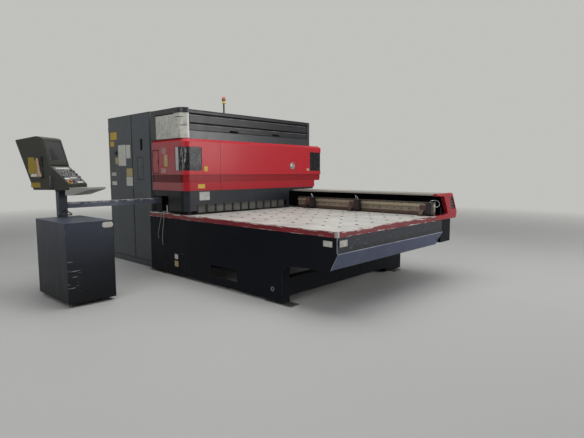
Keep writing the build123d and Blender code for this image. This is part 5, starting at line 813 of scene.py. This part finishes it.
# Door of the low cabinet, in the same coat, with pale scratches where tools and sheets have struck
# its near edge, and an oval sticker left blank.
door_coat = powder_coat("scratched_door_coat", "171a22", dust="474b53", rough=0.4, rub=0.6, cloud=0.1,
                        shine=0.25)
# Like the cabinet, painted light above and painted shade toward its foot
lit_top_shaded_foot(door_coat)
tree = door_coat.node_tree
place = add(tree, "TexCoord").outputs["Object"]
slanted = add(tree, "Mapping", {"Vector": place, "Rotation": (0.30, 0, 0), "Scale": (8.0, 9.0, 85.0)})
strokes = add(tree, "TexNoise", {"Vector": slanted, "Scale": 1.0, "Detail": 1.0})
cut = add(tree, "MapRange", {0: strokes, 1: 0.63, 2: 0.69, 4: 0.75})
where = add(tree, "SeparateXYZ", {0: place})
aside = add(tree, "MapRange", {0: where.outputs["Y"], 1: -2.68, 2: -2.78})
band = add(tree, "Math", {0: where.outputs["Z"], 1: 0.345, 2: 0.185}, operation="COMPARE")
patchy = add(tree, "TexNoise", {"Vector": place, "Scale": 11.0, "Detail": 1.0})
some = add(tree, "MapRange", {0: patchy, 1: 0.4, 2: 0.5, 3: 0.2})
laid_over(door_coat, "b4b3ae", aside, band, some, cut)
finish_nodes(door_coat, "station_door")
station_face = 0.705
# The black edging round the door is a painted shadow line for its gap
edging("station_door_edging", ((station_face, -2.5775, 0.4935), 0.2725, 0.4515, frontward), 0.003, 0.0006,
       gap_shadow_black, "station_door")
thin_plate("oval_sticker", ((station_face, -2.3745, 0.8985), 0.066, 0.032, frontward), 0.0012,
           silver_plate, "station_door", 0.031)


# Console. The screen is dark glass behind its bezel. Keys are capped in moulded plastic, with
# pale and dark caps in groups and dark selector knobs at the panel's edges.
swing = radians(32)
facing = Vector((cos(swing), sin(swing), 0))
sideways = Vector((-sin(swing), cos(swing), 0))
post = Vector((-0.330, -2.485, 0))


def on_slope(foot, head, aside, up_slope, proud):
    """A spot on one of the console's sloping faces, with the ways up the slope and out of it."""
    low_point = post + facing * foot[0] + Vector((0, 0, foot[1]))
    rise = (post + facing * head[0] + Vector((0, 0, head[1])) - low_point).normalized()
    outward = sideways.cross(rise)
    return low_point + sideways * aside + rise * up_slope + outward * proud, rise, outward


keys_face = ((0.252, 1.352), (0.004, 1.578))
screen_face = ((0.004, 1.578), (-0.104, 1.932))
spot, rise, outward = on_slope(*screen_face, 0.0, 0.199, 0.0083)
thin_plate("screen_glass", (spot, sideways * 0.1335, rise * 0.128, outward), 0.0020,
           plain_plastic("dark_screen_glass", "2e2e32", 0.12, mottle=0.04, coat=0.3), "console",
           0.007)
finish_nodes(plain_plastic("grey_key_panel", "45474a", 0.4, mottle=0.4), "console_keys")
key_cap = turned_part("key_cap", ((0.0, 0.0022), (0.0088, 0.0018), (0.0108, 0.0004), (0.0112, -0.0010)), 4)
key_cap.transform(Matrix.Rotation(radians(45), 4, "Z"))
key_pitch = 0.024
for group, tint, mottle in (("pale", "8e8f8d", 0.3), ("dark", "26282b", 0.2)):
    keys = [on_slope(*keys_face, -0.034 + key_pitch * (column - 4), 0.1998 + key_pitch * (row - 2), 0.01)[::2]
            for column in range(9) for row in range(5)
            if ((column * 3 + row * 5) % 7 < 4) == (group == "pale")]
    set_parts(group + "_key_caps", key_cap, keys, plain_plastic(group + "_key_caps", tint, 0.4, mottle),
              "console")
set_parts("selector_knobs", turned_part("selector_knob", (
    (0.0, 0.0180), (0.0070, 0.0178), (0.0088, 0.0160), (0.0094, 0.0050), (0.0130, 0.0040), (0.0132, -0.0010)),
    16), [on_slope(*keys_face, aside, up_slope, 0.0060)[::2] for aside, up_slope in (
        (-0.150, 0.128), (0.105, 0.244), (0.140, 0.226), (0.140, 0.170), (0.148, 0.120), (0.100, 0.060))],
    plain_plastic("black_knob_moulding", "141517", 0.3), "console")
set_parts("stop_button_ring", turned_part("stop_ring", (
    (0.0235, -0.0010), (0.0235, 0.0010), (0.0245, 0.0016), (0.0335, 0.0016), (0.0345, -0.0010),
    (0.0235, -0.0010)), 28), [on_slope(*keys_face, -0.118, 0.042, 0.0060)[::2]], yellow_plate, "console")
for number, (aside, up_slope, half_wide, half_high, tint) in enumerate((
        (-0.110, 0.100, 0.045, 0.012, white_plate), (0.020, 0.112, 0.060, 0.010, silver_plate),
        (0.070, 0.032, 0.050, 0.014, silver_plate), (-0.005, 0.290, 0.120, 0.014, silver_plate)), start=1):
    spot, rise, outward = on_slope(*keys_face, aside, up_slope, 0.0060)
    thin_plate("key_legend_plate_%d" % number, (spot, sideways * half_wide, rise * half_high, outward),
               0.0010, tint, "console", 0.003)
finish_nodes(powder_coat("shelf_paint", "a3a39e", dust="6e6b64", rough=0.4, rub=0.5, cloud=0.4),
             "console_shelf")
finish_nodes(plain_plastic("red_button_moulding", "a3221b", 0.25, mottle=0.05, coat=0.4), "stop_button")
finish_nodes(plain_plastic("black_knob", "1a1b1d", 0.35), "override_dial", "isolator_handle")


# On the console's near side: two yellow plates in a darker yellow, as painted shade on that side, and a small
# pale one, all blank, a bent grab bar, and the hand unit that hangs in a black plastic holder.
def on_side(along, high, proud=0.0):
    """A spot on the console's near side."""
    return post + facing * along - sideways * (0.1765 + proud) + Vector((0, 0, high))


def swept_rod(name, stations, sides, material, body):
    """A closed rod through (place, radius) stations, each ring square to the way along it."""
    shape = bmesh.new()
    spots = [Vector(place) for place, _ in stations]
    rings = []
    for i, (_, radius) in enumerate(stations):
        way = (spots[min(i + 1, len(spots) - 1)] - spots[max(i - 1, 0)]).normalized()
        first = way.cross(facing + Vector((0.01, 0, 0.02))).normalized()
        second = way.cross(first)
        rings.append([shape.verts.new(spots[i] + (first * cos(turn) + second * sin(turn)) * radius)
                      for turn in (2 * pi * k / sides for k in range(sides))])
    closed_skin(shape, rings)
    mesh = as_mesh(shape, name)
    for face in mesh.polygons:
        face.use_smooth = len(face.vertices) == 4
    keep(name, mesh, material, body)


shade_dark_yellow_plate = printed_plate("shaded_yellow_plate", "9b8427", "5f5326", 0.42)
for number, (along, high, half_long, half_high, tint) in enumerate((
        (-0.250, 1.5865, 0.059, 0.1005, shade_dark_yellow_plate), (-0.237, 1.465, 0.045, 0.019, white_plate),
        (-0.2185, 1.344, 0.0665, 0.031, shade_dark_yellow_plate)), start=1):
    thin_plate("console_side_plate_%d" % number, (on_side(along, high), facing * half_long,
               (0, 0, half_high), -sideways), 0.0012, tint, "console", 0.003)
bar_route = [(0.014, 1.452, 0.0), (0.014, 1.452, 0.022), (0.015, 1.449, 0.031), (0.017, 1.440, 0.036),
             (0.017, 1.400, 0.037), (0.015, 1.345, 0.037), (0.013, 1.308, 0.036), (0.012, 1.299, 0.031),
             (0.012, 1.296, 0.022), (0.012, 1.296, 0.0)]
swept_rod("grab_bar", [(on_side(a, h, p), 0.0075) for a, h, p in bar_route], 12,
          powder_coat("grab_bar_coat", "3a3c40", dust="6a6c70", rough=0.35, rub=0.6), "console")
holder_black = plain_plastic("black_holder_moulding", "17181a", 0.4)
thin_plate("hand_unit_holder", (on_side(-0.150, 1.672), facing * 0.044, (0, 0, 0.030), -sideways), 0.030,
           holder_black, "console", 0.008)
thin_plate("hand_unit_rest", (on_side(-0.118, 1.545), facing * 0.017, (0, 0, 0.115), -sideways), 0.016,
           holder_black, "console", 0.006)
swept_rod("hand_unit", [(on_side(a, h, 0.012 + p), r) for a, h, r, p in (
    (-0.152, 1.676, 0.009, 0.016), (-0.155, 1.668, 0.016, 0.016), (-0.156, 1.645, 0.019, 0.016),
    (-0.155, 1.600, 0.019, 0.015), (-0.150, 1.550, 0.018, 0.014), (-0.144, 1.510, 0.020, 0.014),
    (-0.136, 1.475, 0.025, 0.016), (-0.130, 1.452, 0.027, 0.017), (-0.127, 1.441, 0.023, 0.017),
    (-0.126, 1.437, 0.012, 0.017))], 16, plain_plastic("sun_faded_grip", "9c7f68", 0.5, mottle=0.35),
    "console")


# Power cabinets beside the bridge: folded steel sheet in a grey powder coat. Their doors hang on
# hinges, with a black pull and a group of blank plates stuck on.
finish_nodes(powder_coat("cabinet_grey_coat", "43484d", dust="686c6e", rough=0.45, rub=0.4, cloud=0.2),
             "power_cabinets", "power_door_left", "power_door_right", "service_flap")
cabinet_face = -1.070
# The black edging round each door and the flap is a painted shadow line for its gap
for name, low_x, high_x, low_z, high_z, face in (
        ("power_door_left", -1.921, -1.124, 0.100, 2.419, cabinet_face),
        ("power_door_right", -1.115, -0.567, 0.100, 2.419, cabinet_face),
        ("service_flap", -0.967, -0.780, 1.384, 1.741, cabinet_face + 0.001)):
    edging(name + "_edging", (((low_x + high_x) / 2, face, (low_z + high_z) / 2), (high_x - low_x) / 2,
           (high_z - low_z) / 2, nearward), 0.006, 0.0008, gap_shadow_black, name)
thin_plate("cabinet_pull", ((-0.822, cabinet_face, 1.936), 0.030, 0.088, nearward), 0.0030,
           pull_black, "power_door_right", 0.012)
for number, (along, high, half_long, half_high, tint) in enumerate((
        (-1.464, 1.7815, 0.129, 0.1715, white_plate), (-1.249, 1.8375, 0.069, 0.1075, white_plate),
        (-1.2295, 1.498, 0.0995, 0.068, sand_plate), (-1.2355, 1.3525, 0.1045, 0.0725, white_plate),
        (-1.657, 1.696, 0.054, 0.056, sand_plate), (-1.775, 1.4705, 0.080, 0.0285, silver_plate),
        (-1.767, 1.316, 0.083, 0.032, white_plate), (-1.743, 2.113, 0.115, 0.063, yellow_plate),
        (-1.7995, 1.982, 0.0705, 0.042, yellow_plate)), start=1):
    thin_plate("cabinet_plate_%d" % number, ((along, cabinet_face, high), half_long, half_high, nearward),
               0.0014, tint, "power_door_left", 0.003)


# Cords: two grey cables down the side panel, the station's black cable and the clamps' air hoses.
# Sheaths and tubes of moulded PVC, rubber and polyurethane, held in a fitting or a hole at each end.
def hose(name, node, body, points, width, material):
    """A smooth cord through the CAD's route, in millimetres, that stands for its node."""
    line = bpy.data.curves.new(name, "CURVE")
    line.dimensions = "3D"
    spline = line.splines.new("NURBS")
    spline.points.add(len(points) - 1)
    for point, spot in zip(spline.points, points):
        point.co = [c / 1000 for c in spot] + [1]
    spline.order_u = 3
    spline.use_endpoint_u = True
    spline.resolution_u = 12
    line.bevel_depth = width / 2
    line.bevel_resolution = 4
    line.use_fill_caps = True
    made = keep(name, line, material, body)
    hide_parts(node)


cable_grey = plain_plastic("grey_pvc_sheath", "8c8b86", 0.4)
cable_black = plain_plastic("black_rubber_sheath", "1a1a1b", 0.5)
hose("grey_cable_1", "base_cable_1", "machine", (
    (-78, -970, 914), (-78, -1060, 914), (-77, -1110, 930), (-74, -1146, 926), (-70, -1165, 896),
    (-74, -1166, 830), (-84, -1166, 760), (-98, -1168, 690), (-112, -1169, 620), (-122, -1169, 550),
    (-127, -1168, 490), (-128, -1162, 430), (-128, -1146, 430)), 0.009, cable_grey)
hose("grey_cable_2", "base_cable_2", "machine", (
    (-120, -970, 914), (-120, -1060, 914), (-121, -1110, 930), (-124, -1146, 926), (-130, -1165, 896),
    (-146, -1166, 838), (-170, -1167, 774), (-196, -1169, 708), (-220, -1169, 640), (-238, -1167, 580),
    (-246, -1162, 520), (-246, -1146, 520)), 0.009, cable_grey)
hose("station_lead", "station_cable", "machine", (
    (-277.5, -2470, 1012), (-240, -2470, 1012), (-186, -2452, 992), (-130, -2448, 978),
    (-72, -2466, 972), (-34, -2510, 974), (-40, -2562, 982), (-78, -2590, 984), (-128, -2600, 978),
    (-128, -2600, 945)), 0.016, cable_black)
for number, (start, route, long) in enumerate((
        (790, ((50, 0, 0), (50, 0, 34), (62, -26, 62), (92, -62, 66), (122, -86, 46), (138, -72, 22),
               (138, -72, -7)), 0.22),
        (1690, ((48, 0, 0), (48, 0, 32), (60, -30, 58), (90, -66, 60), (124, -90, 42), (140, -72, 20),
                (140, -72, -7)), 0.21),
        (2870, ((105, -5, 0), (105, -5, 18), (122, 45, 24), (126, 140, 20), (158, 176, -12), (168, 150, -52),
                (162, 92, -72), (148, 52, -66), (130, 42, -48), (130, 25, -48)), 0.42)), start=1):
    hose("clamp_air_hose_%d" % number, "clamp_hose_%d" % number, "carriage",
         [(start + dx, 1105 + dy, 1085 + dz) for dx, dy, dz in route], 0.008, hose_plastic)
